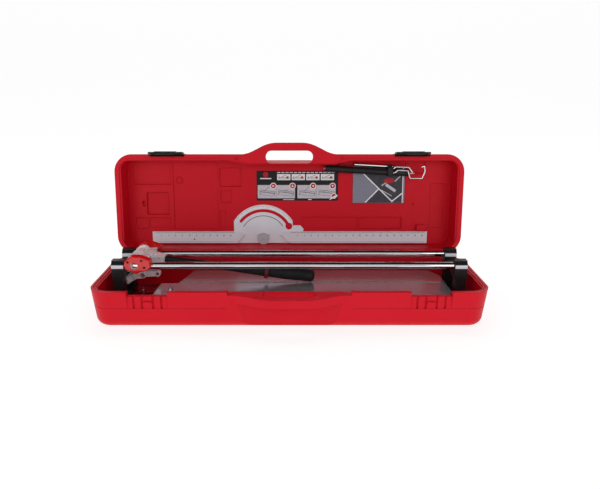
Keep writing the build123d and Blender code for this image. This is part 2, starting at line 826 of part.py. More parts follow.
def make_base_beam():
    """Channel between the end supports that carries the bed."""
    with BuildPart() as base_beam:
        with BuildSketch(Plane.YZ.offset(-BEAM_HALF)):
            with Locations((CUT_Y, (BEAM_Z + BEAM_TOP) / 2)):
                Rectangle(BEAM_W, BEAM_TOP - BEAM_Z)
            with Locations((CUT_Y, BEAM_Z + 11)):
                Rectangle(BEAM_W - 8, 22, mode=Mode.SUBTRACT)
        extrude(amount=2 * BEAM_HALF)
    base_beam.part.label = "base_beam"
    export_step(base_beam.part, "parts/base_beam.step")


def make_bed_brackets():
    """Cantilever brackets bolted to the beam's sides, three under each bed plate."""
    with BuildPart() as bed_brackets:
        for x in BRACKET_X:
            for side in (-1, 1):
                root = CUT_Y + side * BEAM_W / 2
                with BuildSketch(Plane.YZ.offset(x - 15)):
                    with BuildLine():
                        Polyline(
                            (root, BEAM_TOP),
                            (root + side * 56, BEAM_TOP),
                            (root + side * 56, BEAM_TOP - 5),
                            (root + side * 12, BEAM_TOP - 12),
                            (root + side * 6, BEAM_Z + 1),
                            (root, BEAM_Z + 1),
                            close=True,
                        )
                    make_face()
                extrude(amount=30)
        # Short lug for the height stud.
        with BuildSketch(Plane.XY.offset(BEAM_TOP - 8)):
            with Locations((STUD_X, CUT_Y - BEAM_W / 2 - 8)):
                Rectangle(18, 16)
        extrude(amount=8)
    bed_brackets.part.label = "bed_brackets"
    export_step(bed_brackets.part, "parts/bed_brackets.step")


def make_bed_buffers():
    """Rubber buffers that let the plates give a little when the tile is snapped."""
    low = BEAM_TOP
    with BuildPart() as bed_buffers:
        with BuildSketch(Plane.XY.offset(low)):
            for x in BRACKET_X:
                with Locations((x, CUT_Y)):
                    with GridLocations(1, 2 * (BEAM_W / 2 + 38), 1, 2):
                        Circle(10)
        extrude(amount=BED_Z - BED_T - low)
    bed_buffers.part.label = "bed_buffers"
    export_step(bed_buffers.part, "parts/bed_buffers.step")


def make_breaking_rib():
    """Hardened strip under the score line, a little prouder than the bed plates."""
    with BuildPart() as breaking_rib:
        with BuildSketch(Plane.YZ.offset(BED_LEFT)):
            with Locations((CUT_Y, BEAM_TOP + 1.5)):
                Rectangle(14, 3)
            with Locations((CUT_Y, (BEAM_TOP + BED_Z + 1.5) / 2)):
                Rectangle(3, BED_Z + 1.5 - BEAM_TOP)
        extrude(amount=BED_RIGHT - BED_LEFT)
        fillet(breaking_rib.edges().filter_by(Axis.X).group_by(Axis.Z)[-1], 0.8)
    breaking_rib.part.label = "breaking_rib"
    export_step(breaking_rib.part, "parts/breaking_rib.step")


def make_bed_plate(name, side, outline):
    """Sprung bed plate; its left end is cut back beside the parked carriage."""
    with BuildPart() as plate:
        with BuildSketch(Plane.XY.offset(BED_Z - BED_T)):
            with BuildLine():
                Polyline(*[(x, CUT_Y + side * y) for x, y in outline], close=True)
            make_face()
            if side < 0:
                with Locations((BOLT_X, CUT_Y - BOLT_OUT)):
                    Circle(3, mode=Mode.SUBTRACT)
        extrude(amount=BED_T)
        chamfer(plate.faces().sort_by(Axis.Z)[-1].outer_wire().edges(), 1.0)
    plate.part.label = name
    export_step(plate.part, f"parts/{name}.step")


def make_bed_studs():
    """Height stud on its lug and the bolt through the front plate, both at the left end."""
    with BuildPart() as bed_studs:
        with BuildSketch(Plane.XY.offset(BEAM_TOP)):
            with Locations((STUD_X, STUD_Y)):
                Circle(3)
        extrude(amount=18)
        with BuildSketch(Plane.XY.offset(BEAM_TOP + 7)):
            with Locations((STUD_X, STUD_Y)):
                RegularPolygon(5.5, 6)
        extrude(amount=4)
        with BuildSketch(Plane.XY.offset(BED_Z - BED_T - 4)):
            with Locations((BOLT_X, CUT_Y - BOLT_OUT)):
                Circle(3)
        extrude(amount=BED_T + 4 + 9)
        with BuildSketch(Plane.XY.offset(BED_Z)):
            with Locations((BOLT_X, CUT_Y - BOLT_OUT)):
                RegularPolygon(6, 6)
        extrude(amount=4.5)
    bed_studs.part.label = "bed_studs"
    export_step(bed_studs.part, "parts/bed_studs.step")


def make_rubber_feet():
    with BuildPart() as rubber_feet:
        with BuildSketch(Plane.XY.offset(FLOOR_T)):
            for x in (-(SUPPORT_IN + 17), SUPPORT_IN + 17):
                with Locations((x, RAIL_Y[0]), (x, RAIL_Y[1])):
                    Circle(11)
        extrude(amount=4)
        with BuildSketch(Plane.XY.offset(FLOOR_T)):
            with Locations((-150, CUT_Y), (150, CUT_Y)):
                RectangleRounded(60, BEAM_W - 9, 6)
        extrude(amount=BEAM_Z + 22 - FLOOR_T)
    rubber_feet.part.label = "rubber_feet"
    export_step(rubber_feet.part, "parts/rubber_feet.step")


def make_carriage_body():
    """Casting that runs on both rails, with two cheeks that carry the lever pivot."""
    length = CAR_RIGHT - CAR_LEFT
    with BuildPart() as carriage_body:
        with BuildSketch(Plane.YZ.offset(CAR_LEFT)):
            for y in RAIL_Y:
                with Locations((y, RAIL_Z)):
                    Circle(BARREL_R)
            for side in (-1, 1):
                with Locations((CUT_Y + side * 30, RAIL_Z - 5)):
                    Rectangle(20, 14)
        extrude(amount=length)
        # Cheeks either side of the lever.
        for side in (-1, 1):
            with BuildSketch(ACROSS.offset(side * 19)):
                with Locations((PIVOT_X, PIVOT_Z)):
                    Circle(17.5)
                with BuildLine():
                    Polyline(
                        (CAR_LEFT, 115),
                        (CAR_RIGHT, 115),
                        (CAR_RIGHT, 132),
                        (PIVOT_X + 18, 150),
                        (PIVOT_X - 18, 150),
                        (CAR_LEFT, 138),
                        close=True,
                    )
                make_face()
            extrude(amount=side * 8)
        # Bridge that ties the two sides behind the lever.
        with BuildSketch(ACROSS):
            with Locations((CAR_LEFT + 2.5, 136)):
                Rectangle(5, 20)
        extrude(amount=20, both=True)
        with BuildSketch(Plane.YZ.offset(CAR_LEFT)):
            for y in RAIL_Y:
                with Locations((y, RAIL_Z)):
                    Circle(BUSH_R)
        extrude(amount=length, mode=Mode.SUBTRACT)
        with BuildSketch(ACROSS):
            with Locations((PIVOT_X, PIVOT_Z)):
                Circle(5)
        extrude(amount=60, both=True, mode=Mode.SUBTRACT)
        # Inspection windows on the rails.
        with BuildSketch(ACROSS):
            with Locations((WINDOW_X, WINDOW_Z)):
                Circle(8.5)
        extrude(amount=80, both=True, mode=Mode.SUBTRACT)
    carriage_body.part.label = "carriage_body"
    export_step(carriage_body.part, "parts/carriage_body.step")


def make_slide_bushes():
    with BuildPart() as slide_bushes:
        for start in (CAR_LEFT, CAR_RIGHT - 12):
            with BuildSketch(Plane.YZ.offset(start)):
                for y in RAIL_Y:
                    with Locations((y, RAIL_Z)):
                        Circle(BUSH_R)
                        Circle(RAIL_R + RUN_FIT, mode=Mode.SUBTRACT)
            extrude(amount=12)
    slide_bushes.part.label = "slide_bushes"
    export_step(slide_bushes.part, "parts/slide_bushes.step")


def make_carriage_cover(name, side):
    """Red moulded cover over one barrel, with a round window on the rail."""
    with BuildPart() as cover:
        with BuildSketch(ACROSS.offset(-side * COVER_FACE)):
            with BuildLine():
                Polyline(
                    (PIVOT_X - 28, 135),
                    (PIVOT_X - 27, 144),
                    (PIVOT_X - 16.5, 154),
                    (PIVOT_X - 7, 158),
                    (PIVOT_X + 14, 157),
                    (PIVOT_X + 37, 148),
                    (PIVOT_X + 38, 129),
                    (PIVOT_X + 28, 120),
                    (PIVOT_X + 10, 117),
                    (PIVOT_X, 112),
                    (PIVOT_X - 9, 116),
                    (PIVOT_X - 26.5, 124),
                    close=True,
                )
            cover_face = make_face()
            fillet(cover_face.vertices(), 3)
        extrude(amount=side * (COVER_FACE - 53))
        outer_face = cover.faces().sort_by(Axis((0, 0, 0), (0, side, 0)))[-1]
        chamfer(outer_face.outer_wire().edges(), 2.5)
        with BuildSketch(Plane.YZ.offset(CAR_LEFT - 10)):
            with Locations((CUT_Y + side * RAIL_GAP / 2, RAIL_Z)):
                Circle(RAIL_R + 2)
        extrude(amount=80, mode=Mode.SUBTRACT)
        with BuildSketch(Plane.YZ.offset(CAR_LEFT)):
            with Locations((CUT_Y + side * RAIL_GAP / 2, RAIL_Z)):
                Circle(BARREL_R)
        extrude(amount=CAR_RIGHT - CAR_LEFT, mode=Mode.SUBTRACT)
        # Window with a bevelled rim.
        with BuildSketch(ACROSS.offset(-side * COVER_FACE)):
            with Locations((WINDOW_X, WINDOW_Z)):
                Circle(9.5)
        extrude(amount=side * 25, mode=Mode.SUBTRACT)
        # Counterbores for the cover screws.
        with BuildSketch(ACROSS.offset(-side * COVER_FACE)):
            with Locations(*COVER_SCREWS):
                Circle(3.2)
        extrude(amount=side * 2.5, mode=Mode.SUBTRACT)
    cover.part.label = name
    export_step(cover.part, f"parts/{name}.step")


def make_cover_screws():
    with BuildPart() as cover_screws:
        for side in (-1, 1):
            with BuildSketch(ACROSS.offset(-side * COVER_FACE)):
                with Locations(*COVER_SCREWS):
                    Circle(3.2)
                    RegularPolygon(1.6, 6, mode=Mode.SUBTRACT)
            extrude(amount=side * 2.5)
    cover_screws.part.label = "cover_screws"
    export_step(cover_screws.part, "parts/cover_screws.step")


def make_pivot_pin():
    with BuildPart() as pivot_pin:
        with BuildSketch(ACROSS):
            with Locations((PIVOT_X, PIVOT_Z)):
                Circle(5)
        extrude(amount=27, both=True)
        for side in (-1, 1):
            with BuildSketch(ACROSS.offset(side * 27)):
                with Locations((PIVOT_X, PIVOT_Z)):
                    Circle(7.5)
            extrude(amount=side * 2)
        chamfer(pivot_pin.edges().filter_by(GeomType.CIRCLE).group_by(Axis.Y)[0], 0.6)
        chamfer(pivot_pin.edges().filter_by(GeomType.CIRCLE).group_by(Axis.Y)[-1], 0.6)
    pivot_pin.part.label = "pivot_pin"
    export_step(pivot_pin.part, "parts/pivot_pin.step")


def make_lever_head():
    """Lever casting: pivot boss, socket for the tube and the nose with wheel fork and foot lug."""
    with BuildPart() as lever_head:
        with BuildSketch(ACROSS):
            with Locations((PIVOT_X, PIVOT_Z)):
                Circle(14.5)
        extrude(amount=18.5, both=True)
        with BuildSketch(LEVER_SIDE):
            with BuildLine():
                Polyline((-2, 18.5), (24, 14), (60, 9.8), (60, -9.8), (24, -11), (-2, -10), close=True)
            make_face()
        extrude(amount=12, both=True)
        fillet(lever_head.faces().sort_by(LEVER_AXIS)[-1].edges(), 2.5)
        with BuildSketch(ACROSS):
            with BuildLine():
                Polyline(
                    (PIVOT_X - 12, PIVOT_Z - 4),
                    (WHEEL_X - 5.5, WHEEL_Z + 2),
                    (WHEEL_X, WHEEL_Z - 5.9),
                    (FOOT_X, FOOT_Z - 8.9),
                    (MAGNET_X, FOOT_Z - 5.9),
                    (MAGNET_X, FOOT_Z + 6),
                    (FOOT_X + 12, FOOT_Z + 10),
                    (PIVOT_X + 13, PIVOT_Z - 4),
                    close=True,
                )
            make_face()
            with Locations((WHEEL_X, WHEEL_Z)):
                Circle(6)
            with Locations((FOOT_X, FOOT_Z)):
                Circle(9)
            with Locations((MAGNET_X, FOOT_Z)):
                Circle(7.5)
        extrude(amount=NOSE_W / 2, both=True)
        with BuildSketch(LEVER_END.offset(26)):
            Circle(TUBE_R)
        extrude(amount=60, mode=Mode.SUBTRACT)
        with BuildSketch(ACROSS):
            with Locations((PIVOT_X, PIVOT_Z)):
                Circle(5 + RUN_FIT)
        extrude(amount=20, both=True, mode=Mode.SUBTRACT)
        with BuildSketch(ACROSS):
            with Locations((FOOT_X, FOOT_Z)):
                Circle(4)
            with Locations((WHEEL_X, WHEEL_Z)):
                Circle(2)
            with Locations((MAGNET_X, FOOT_Z)):
                Circle(4.5)
        extrude(amount=20, both=True, mode=Mode.SUBTRACT)
        with BuildSketch(ACROSS):
            with Locations((WHEEL_X, WHEEL_Z)):
                Circle(WHEEL_R + 1.5)
        extrude(amount=2.5, both=True, mode=Mode.SUBTRACT)
    lever_head.part.label = "lever_head"
    export_step(lever_head.part, "parts/lever_head.step")


def make_hold_magnet():
    with BuildPart() as hold_magnet:
        with BuildSketch(ACROSS):
            with Locations((MAGNET_X, FOOT_Z)):
                Circle(4.5)
        extrude(amount=NOSE_W / 2 + 1, both=True)
        chamfer(hold_magnet.edges().filter_by(GeomType.CIRCLE), 0.6)
    hold_magnet.part.label = "hold_magnet"
    export_step(hold_magnet.part, "parts/hold_magnet.step")


def make_foot_pin():
    with BuildPart() as foot_pin:
        with BuildSketch(ACROSS):
            with Locations((FOOT_X, FOOT_Z)):
                Circle(4)
        extrude(amount=17.5, both=True)
        for side in (-1, 1):
            with BuildSketch(ACROSS.offset(side * 17)):
                with Locations((FOOT_X, FOOT_Z)):
                    Circle(6)
                    Circle(2, mode=Mode.SUBTRACT)
            extrude(amount=side * 1.6)
    foot_pin.part.label = "foot_pin"
    export_step(foot_pin.part, "parts/foot_pin.step")


def make_handle_tube():
    with BuildPart() as handle_tube:
        with BuildSketch(LEVER_END.offset(26)):
            Circle(TUBE_R)
            Circle(TUBE_R - 2.5, mode=Mode.SUBTRACT)
        extrude(amount=GRIP_END - 34)
    handle_tube.part.label = "handle_tube"
    export_step(handle_tube.part, "parts/handle_tube.step")


def make_handle_grip():
    """Rubber grip, swelling to the palm, with grip rings at its end."""
    with BuildPart() as handle_grip:
        with BuildSketch(LEVER_SIDE):
            with BuildLine():
                Spline(
                    (GRIP_START, 11),
                    (GRIP_START + 60, 13.4),
                    (GRIP_END - 80, 17.6),
                    (GRIP_END - 10, 16),
                    tangents=((1, 0.25), (1, -0.05)),
                )
                ThreePointArc((GRIP_END - 10, 16), (GRIP_END - 3, 13), (GRIP_END, 6))
                Polyline(
                    (GRIP_END, 6),
                    (GRIP_END, 0),
                    (GRIP_END - 8, 0),
                    (GRIP_END - 8, TUBE_R),
                    (GRIP_START, TUBE_R),
                    (GRIP_START, 11),
                )
            make_face()
            for ring in range(6):
                with Locations((GRIP_END - 14 - ring * 5, 17.6)):
                    Rectangle(2, 3.6, mode=Mode.SUBTRACT)
        revolve(axis=LEVER_AXIS)
    handle_grip.part.label = "handle_grip"
    export_step(handle_grip.part, "parts/handle_grip.step")


def make_lever_bumper():
    """Soft red ring round the grip that meets the bed when the lever is folded."""
    with BuildPart() as lever_bumper:
        with BuildSketch(LEVER_END.offset(BUMPER_AT)):
            Circle(20.5)
            Circle(17.9, mode=Mode.SUBTRACT)
        extrude(amount=9)
    lever_bumper.part.label = "lever_bumper"
    export_step(lever_bumper.part, "parts/lever_bumper.step")


def make_scoring_wheel():
    """Carbide wheel with a bevelled edge."""
    with BuildPart() as scoring_wheel:
        with BuildSketch(ACROSS):
            with Locations((WHEEL_X, WHEEL_Z)):
                Circle(WHEEL_R)
        extrude(amount=1.8, both=True)
        chamfer(scoring_wheel.edges().filter_by(GeomType.CIRCLE), 1.4)
        with BuildSketch(ACROSS):
            with Locations((WHEEL_X, WHEEL_Z)):
                Circle(2 + RUN_FIT)
        extrude(amount=5, both=True, mode=Mode.SUBTRACT)
    scoring_wheel.part.label = "scoring_wheel"
    export_step(scoring_wheel.part, "parts/scoring_wheel.step")


def make_wheel_axle():
    with BuildPart() as wheel_axle:
        with BuildSketch(ACROSS):
            with Locations((WHEEL_X, WHEEL_Z)):
                Circle(2)
        extrude(amount=NOSE_W / 2, both=True)
    wheel_axle.part.label = "wheel_axle"
    export_step(wheel_axle.part, "parts/wheel_axle.step")


def make_breaker_foot():
    """Two-sided breaker foot: arms either side of the nose, joined by the tip bar."""
    with BuildPart() as breaker_foot:
        for side in (-1, 1):
            with BuildSketch(ACROSS.offset(side * (NOSE_W / 2 + 1))):
                with BuildLine():
                    Polyline(
                        (FOOT_X, 99),
                        (FOOT_X - 18, 95),
                        (FOOT_X - 35, 88),
                        (FOOT_X - 46, 82),
                        (FOOT_X - 46, 70),
                        (FOOT_X - 33, 70),
                        (FOOT_X - 16, 80),
                        (FOOT_X, 81),
                        close=True,
                    )
                make_face()
                with Locations((FOOT_X, FOOT_Z)):
                    Circle(9)
                with Locations((FOOT_X, FOOT_Z)):
                    Circle(4 + RUN_FIT, mode=Mode.SUBTRACT)
            extrude(amount=side * 8)
        with BuildSketch(ACROSS):
            with BuildLine():
                Polyline(
                    (FOOT_X - 46, 82),
                    (FOOT_X - 36, 84),
                    (FOOT_X - 33, 70),
                    (FOOT_X - 46, 70),
                    close=True,
                )
            make_face()
        extrude(amount=28, both=True)
        fillet(breaker_foot.edges().filter_by(Axis.Z).group_by(Axis.X)[0], 2)
    breaker_foot.part.label = "breaker_foot"
    export_step(breaker_foot.part, "parts/breaker_foot.step")


def make_foot_pads():
    with BuildPart() as foot_pads:
        for side in (-1, 1):
            with BuildSketch(ACROSS.offset(side * 7)):
                with Locations((FOOT_X - 39.5, 68.25)):
                    Rectangle(11, 3.5)
            extrude(amount=side * 20)
    foot_pads.part.label = "foot_pads"
    export_step(foot_pads.part, "parts/foot_pads.step")


def main():
    make_case_base()
    make_case_lid()
    make_hinge_pins()
    make_latch("latch_left", -1)
    make_latch("latch_right", 1)
    make_latch_pins()
    make_instruction_sticker()
    make_booklet()
    make_support_arm()
    make_support_wires()
    make_angle_stop()
    make_end_support("end_support_left", -1)
    make_end_support("end_support_right", 1)
    make_rail("rail_front", RAIL_Y[0])
    make_rail("rail_back", RAIL_Y[1])
    make_rail_bands()
    make_end_screws()
    make_base_beam()
    make_bed_brackets()
    make_bed_buffers()
    make_breaking_rib()
    make_bed_plate("bed_plate_front", -1, FRONT_OUTLINE)
    make_bed_plate("bed_plate_back", 1, BACK_OUTLINE)
    make_bed_studs()
    make_rubber_feet()
    make_carriage_body()
    make_slide_bushes()
    make_carriage_cover("carriage_cover_front", -1)
    make_carriage_cover("carriage_cover_back", 1)
    make_cover_screws()
    make_pivot_pin()
    make_lever_head()
    make_hold_magnet()
    make_foot_pin()
    make_handle_tube()
    make_handle_grip()
    make_lever_bumper()
    make_scoring_wheel()
    make_wheel_axle()
    make_breaker_foot()
    make_foot_pads()


main()
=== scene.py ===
import json
import math

import bmesh
import bpy
from mathutils import Matrix, Vector


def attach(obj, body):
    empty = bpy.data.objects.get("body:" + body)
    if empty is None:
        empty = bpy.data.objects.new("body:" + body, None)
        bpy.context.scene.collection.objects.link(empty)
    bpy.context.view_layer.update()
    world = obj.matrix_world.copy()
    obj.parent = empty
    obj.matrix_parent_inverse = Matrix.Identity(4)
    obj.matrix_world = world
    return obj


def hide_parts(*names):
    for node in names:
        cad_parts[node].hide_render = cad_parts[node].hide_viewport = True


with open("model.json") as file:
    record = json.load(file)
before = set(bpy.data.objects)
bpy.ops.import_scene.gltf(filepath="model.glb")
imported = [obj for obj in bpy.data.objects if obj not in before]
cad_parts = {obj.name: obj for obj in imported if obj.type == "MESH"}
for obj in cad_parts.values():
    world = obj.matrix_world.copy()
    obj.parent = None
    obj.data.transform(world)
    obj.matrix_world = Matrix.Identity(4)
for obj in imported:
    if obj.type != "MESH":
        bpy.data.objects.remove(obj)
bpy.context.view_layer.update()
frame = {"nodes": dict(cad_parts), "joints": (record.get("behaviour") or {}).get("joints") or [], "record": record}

# Looks of a tile cutter lying in its open red case, with its angle stop, booklet and
# side support arm stored in the lid. Lengths are in metres, and MM turns millimetres
# into them where a piece is laid out in millimetres.
MM = 0.001

# The open lid leans back from the hinge line. In lid coordinates u runs along the case,
# v from the hinges up the lid and w out of the lid's mouth.
LID_LEAN = math.radians(6.5)
# The folded lever starts a little below its pivot and dips towards the grip.
LEVER_DIP = math.radians(7.0)
LEVER_DROP = Vector((0, 0, -5.5 * MM))


def joint_place(name):
    """The point that a joint of the frame turns about."""
    return Vector(next(joint for joint in frame["joints"] if joint["name"] == name)["pos_m"])


def axes_matrix(origin, x_axis, y_axis, z_axis):
    """Matrix that takes local millimetres along three axes to the row frame."""
    turn = Matrix((x_axis, y_axis, z_axis)).transposed().to_4x4()
    return Matrix.Translation(origin) @ turn @ Matrix.Scale(MM, 4)


LID = axes_matrix(
    joint_place("lid_hinge"),
    (1, 0, 0),
    (0, math.sin(LID_LEAN), math.cos(LID_LEAN)),
    (0, -math.cos(LID_LEAN), math.sin(LID_LEAN)),
)
# Lever coordinates: x along the tube from the pivot, y across and z up from the tube.
LEVER = axes_matrix(
    joint_place("handle_pivot") + LEVER_DROP,
    (math.cos(LEVER_DIP), 0, -math.sin(LEVER_DIP)),
    (0, 1, 0),
    (math.sin(LEVER_DIP), 0, math.cos(LEVER_DIP)),
)


def local_box(node, matrix):
    """Lowest and highest corner of a CAD node in local millimetres."""
    back = matrix.inverted()
    points = [back @ vertex.co for vertex in frame["nodes"][node].data.vertices]
    low = Vector(min(point[axis] for point in points) for axis in range(3))
    high = Vector(max(point[axis] for point in points) for axis in range(3))
    return low, high


# ---------------------------------------------------------------- materials


class Finish:
    """A Principled material and short ways to write its node tree."""

    def __init__(self, name, color, roughness, **sockets):
        self.material = bpy.data.materials.new(name)
        self.material.use_nodes = True
        self.tree = self.material.node_tree
        self.shader = self.tree.nodes["Principled BSDF"]
        self.shader.inputs["Base Color"].default_value = (*color, 1)
        self.shader.inputs["Roughness"].default_value = roughness
        for socket, value in sockets.items():
            self.shader.inputs[socket.replace("_", " ")].default_value = value
        self.place = self.tree.nodes.new("ShaderNodeTexCoord").outputs["Object"]
        self.normal = None

    def link(self, output, socket):
        self.tree.links.new(output, socket)

    def noise(self, scale, detail=3.0, stretch=(1, 1, 1)):
        """Noise in object space: scale is in bumps per metre, stretch multiplies it by axis."""
        mapping = self.tree.nodes.new("ShaderNodeMapping")
        mapping.inputs["Scale"].default_value = stretch
        self.link(self.place, mapping.inputs["Vector"])
        noise = self.tree.nodes.new("ShaderNodeTexNoise")
        noise.inputs["Scale"].default_value = scale
        noise.inputs["Detail"].default_value = detail
        self.link(mapping.outputs["Vector"], noise.inputs["Vector"])
        return noise.outputs["Fac"]

    def ramp(self, factor, low, high, start=0.0, end=1.0):
        """Spreads factor from low to high between two values of a plain number."""
        node = self.tree.nodes.new("ShaderNodeMapRange")
        node.inputs["From Min"].default_value = low
        node.inputs["From Max"].default_value = high
        node.inputs["To Min"].default_value = start
        node.inputs["To Max"].default_value = end
        self.link(factor, node.inputs["Value"])
        return node.outputs["Result"]

    def times(self, first, second):
        node = self.tree.nodes.new("ShaderNodeMath")
        node.operation = "MULTIPLY"
        self.link(first, node.inputs[0])
        self.link(second, node.inputs[1])
        return node.outputs["Value"]

    def color_mix(self, factor, color):
        """Mixes color over the base colour that the material has so far."""
        node = self.tree.nodes.new("ShaderNodeMix")
        node.data_type = "RGBA"
        base = self.shader.inputs["Base Color"]
        self.link(factor, node.inputs["Factor"])
        if base.is_linked:
            self.link(base.links[0].from_socket, node.inputs["A"])
        else:
            node.inputs["A"].default_value = base.default_value
        node.inputs["B"].default_value = (*color, 1)
        self.link(node.outputs["Result"], base)

    def roughness(self, factor, low, high):
        """Roughness that follows a noise between two values."""
        self.link(self.ramp(factor, 0.3, 0.7, low, high), self.shader.inputs["Roughness"])

    def bump(self, height, depth, strength=1.0):
        """Adds a bump of that depth in metres over the bumps so far."""
        node = self.tree.nodes.new("ShaderNodeBump")
        node.inputs["Distance"].default_value = depth
        node.inputs["Strength"].default_value = strength
        self.link(height, node.inputs["Height"])
        if self.normal is not None:
            self.link(self.normal, node.inputs["Normal"])
        self.normal = node.outputs["Normal"]
        self.link(self.normal, self.shader.inputs["Normal"])

    def edges(self, radius, low=0.01, high=0.12):
        """Mask of the piece's sharp edges, broken up by noise, for wear."""
        bevel = self.tree.nodes.new("ShaderNodeBevel")
        bevel.samples = 4
        bevel.inputs["Radius"].default_value = radius
        geometry = self.tree.nodes.new("ShaderNodeNewGeometry")
        dot = self.tree.nodes.new("ShaderNodeVectorMath")
        dot.operation = "DOT_PRODUCT"
        self.link(bevel.outputs["Normal"], dot.inputs[0])
        self.link(geometry.outputs["Normal"], dot.inputs[1])
        edge = self.ramp(dot.outputs["Value"], 1 - low, 1 - high)
        return self.times(edge, self.ramp(self.noise(260), 0.42, 0.62))

    def soft_edges(self, radius):
        """Rounds the shading of sharp edges and puts later bumps on top."""
        bevel = self.tree.nodes.new("ShaderNodeBevel")
        bevel.samples = 6
        bevel.inputs["Radius"].default_value = radius
        self.normal = bevel.outputs["Normal"]
        self.link(self.normal, self.shader.inputs["Normal"])


def case_plastic():
    """Blow-moulded polyethylene: slow waves, fine grain, whitened scuffs on the edges."""
    finish = Finish("case_plastic", (0.6, 0.002, 0.013), 0.42, Specular_IOR_Level=0.16)
    finish.soft_edges(0.0022)
    finish.color_mix(finish.ramp(finish.noise(7), 0.35, 0.7, 0.0, 0.55), (0.64, 0.004, 0.019))
    finish.color_mix(finish.ramp(finish.noise(90, 5), 0.6, 0.8, 0.0, 0.3), (0.54, 0.002, 0.011))
    finish.color_mix(finish.ramp(finish.edges(0.0012), 0, 1, 0, 0.4), (0.72, 0.05, 0.06))
    finish.roughness(finish.noise(30, 5), 0.37, 0.47)
    finish.bump(finish.noise(14, 1), 0.0012, 0.35)
    finish.bump(finish.noise(1500, 2), 0.00006, 0.5)
    return finish.material


def housing_plastic():
    """Glossy red moulding of the carriage covers, with faint wipe marks."""
    finish = Finish("housing_plastic", (0.66, 0.003, 0.004), 0.16, Coat_Weight=0.6, Coat_Roughness=0.06)
    finish.soft_edges(0.0008)
    finish.color_mix(finish.ramp(finish.noise(40), 0.4, 0.7, 0, 0.4), (0.58, 0.002, 0.004))
    finish.color_mix(finish.ramp(finish.edges(0.0006), 0, 1, 0, 0.35), (0.8, 0.1, 0.08))
    finish.roughness(finish.noise(120, 5), 0.12, 0.24)
    finish.bump(finish.noise(60, 2), 0.0003, 0.25)
    return finish.material


def powder_coat():
    """Satin black powder coat: orange-peel texture and rubbed metal on the edges."""
    finish = Finish("powder_coat", (0.009, 0.009, 0.011), 0.36, Specular_IOR_Level=0.3)
    finish.soft_edges(0.0012)
    finish.color_mix(finish.ramp(finish.noise(50), 0.4, 0.7, 0, 0.5), (0.014, 0.014, 0.016))
    finish.color_mix(finish.ramp(finish.edges(0.0006), 0, 1, 0, 0.5), (0.12, 0.12, 0.125))
    finish.roughness(finish.noise(70, 4), 0.3, 0.46)
    finish.bump(finish.noise(750, 2), 0.00018, 0.6)
    return finish.material


def black_plastic():
    """Matt black moulding with a spark-eroded grain."""
    finish = Finish("black_plastic", (0.009, 0.01, 0.011), 0.5, Specular_IOR_Level=0.35)
    finish.soft_edges(0.0008)
    finish.color_mix(finish.ramp(finish.noise(35), 0.4, 0.7, 0, 0.6), (0.02, 0.021, 0.022))
    finish.color_mix(finish.ramp(finish.edges(0.0005), 0, 1, 0, 0.5), (0.07, 0.07, 0.072))
    finish.roughness(finish.noise(160, 4), 0.42, 0.58)
    finish.bump(finish.noise(1800, 2), 0.00012, 0.5)
    return finish.material


def black_rubber():
    """Soft rubber with a pebbled skin and dusty high spots."""
    finish = Finish("black_rubber", (0.011, 0.011, 0.012), 0.62, Specular_IOR_Level=0.35)
    finish.color_mix(finish.ramp(finish.noise(45, 5), 0.45, 0.75, 0, 0.55), (0.024, 0.023, 0.023))
    finish.roughness(finish.noise(120, 4), 0.52, 0.72)
    finish.bump(finish.noise(1100, 1), 0.00035, 0.6)
    return finish.material


def red_rubber():
    """Dark red rubber of the lever's bumper ring."""
    finish = Finish("red_rubber", (0.16, 0.006, 0.014), 0.5)
    finish.color_mix(finish.ramp(finish.noise(80, 4), 0.4, 0.7, 0, 0.5), (0.1, 0.004, 0.01))
    finish.roughness(finish.noise(150, 4), 0.42, 0.6)
    finish.bump(finish.noise(1200, 1), 0.0002, 0.5)
    return finish.material


def chrome():
    """Hard chrome with a ground bar's faint rings and slightly clouded patches."""
    finish = Finish("chrome", (0.9, 0.9, 0.92), 0.05, Metallic=1.0)
    finish.color_mix(finish.ramp(finish.noise(25, 4), 0.5, 0.75, 0, 0.35), (0.74, 0.75, 0.78))
    finish.roughness(finish.noise(40, 5), 0.035, 0.07)
    finish.bump(finish.noise(2600, 2, (1, 0.05, 0.05)), 0.000003, 0.2)
    return finish.material


def cast_aluminium():
    """Tumbled die casting: bright, softly pitted, darker in its skin's blotches."""
    finish = Finish("cast_aluminium", (0.9, 0.9, 0.92), 0.3, Metallic=0.45)
    finish.soft_edges(0.0012)
    finish.color_mix(finish.ramp(finish.noise(70, 6), 0.42, 0.7, 0, 0.6), (0.72, 0.72, 0.75))
    finish.color_mix(finish.ramp(finish.edges(0.0008), 0, 1, 0, 0.7), (0.94, 0.94, 0.95))
    finish.roughness(finish.noise(160, 5), 0.24, 0.42)
    finish.bump(finish.noise(900, 3), 0.00006, 0.3)
    return finish.material


def anodised_sheet():
    """Matt anodised aluminium with a rolled grain along the case."""
    finish = Finish("anodised_sheet", (0.78, 0.78, 0.84), 0.42, Metallic=0.12)
    finish.color_mix(finish.ramp(finish.noise(18, 4), 0.4, 0.7, 0, 0.5), (0.7, 0.7, 0.76))
    finish.color_mix(finish.ramp(finish.edges(0.0005), 0, 1, 0, 0.8), (0.82, 0.82, 0.84))
    finish.roughness(finish.noise(500, 4, (0.05, 1, 1)), 0.36, 0.52)
    finish.bump(finish.noise(2200, 2, (0.04, 1, 1)), 0.00005, 0.5)
    return finish.material


def zinc_plate():
    """Zinc plating of the angle stop's hub and rivet."""
    finish = Finish("zinc_plate", (0.62, 0.62, 0.67), 0.3, Metallic=0.4)
    finish.color_mix(finish.ramp(finish.noise(90, 5), 0.45, 0.75, 0, 0.5), (0.5, 0.5, 0.54))
    finish.roughness(finish.noise(300, 4), 0.24, 0.4)
    finish.bump(finish.noise(1400, 2), 0.00006, 0.5)
    return finish.material


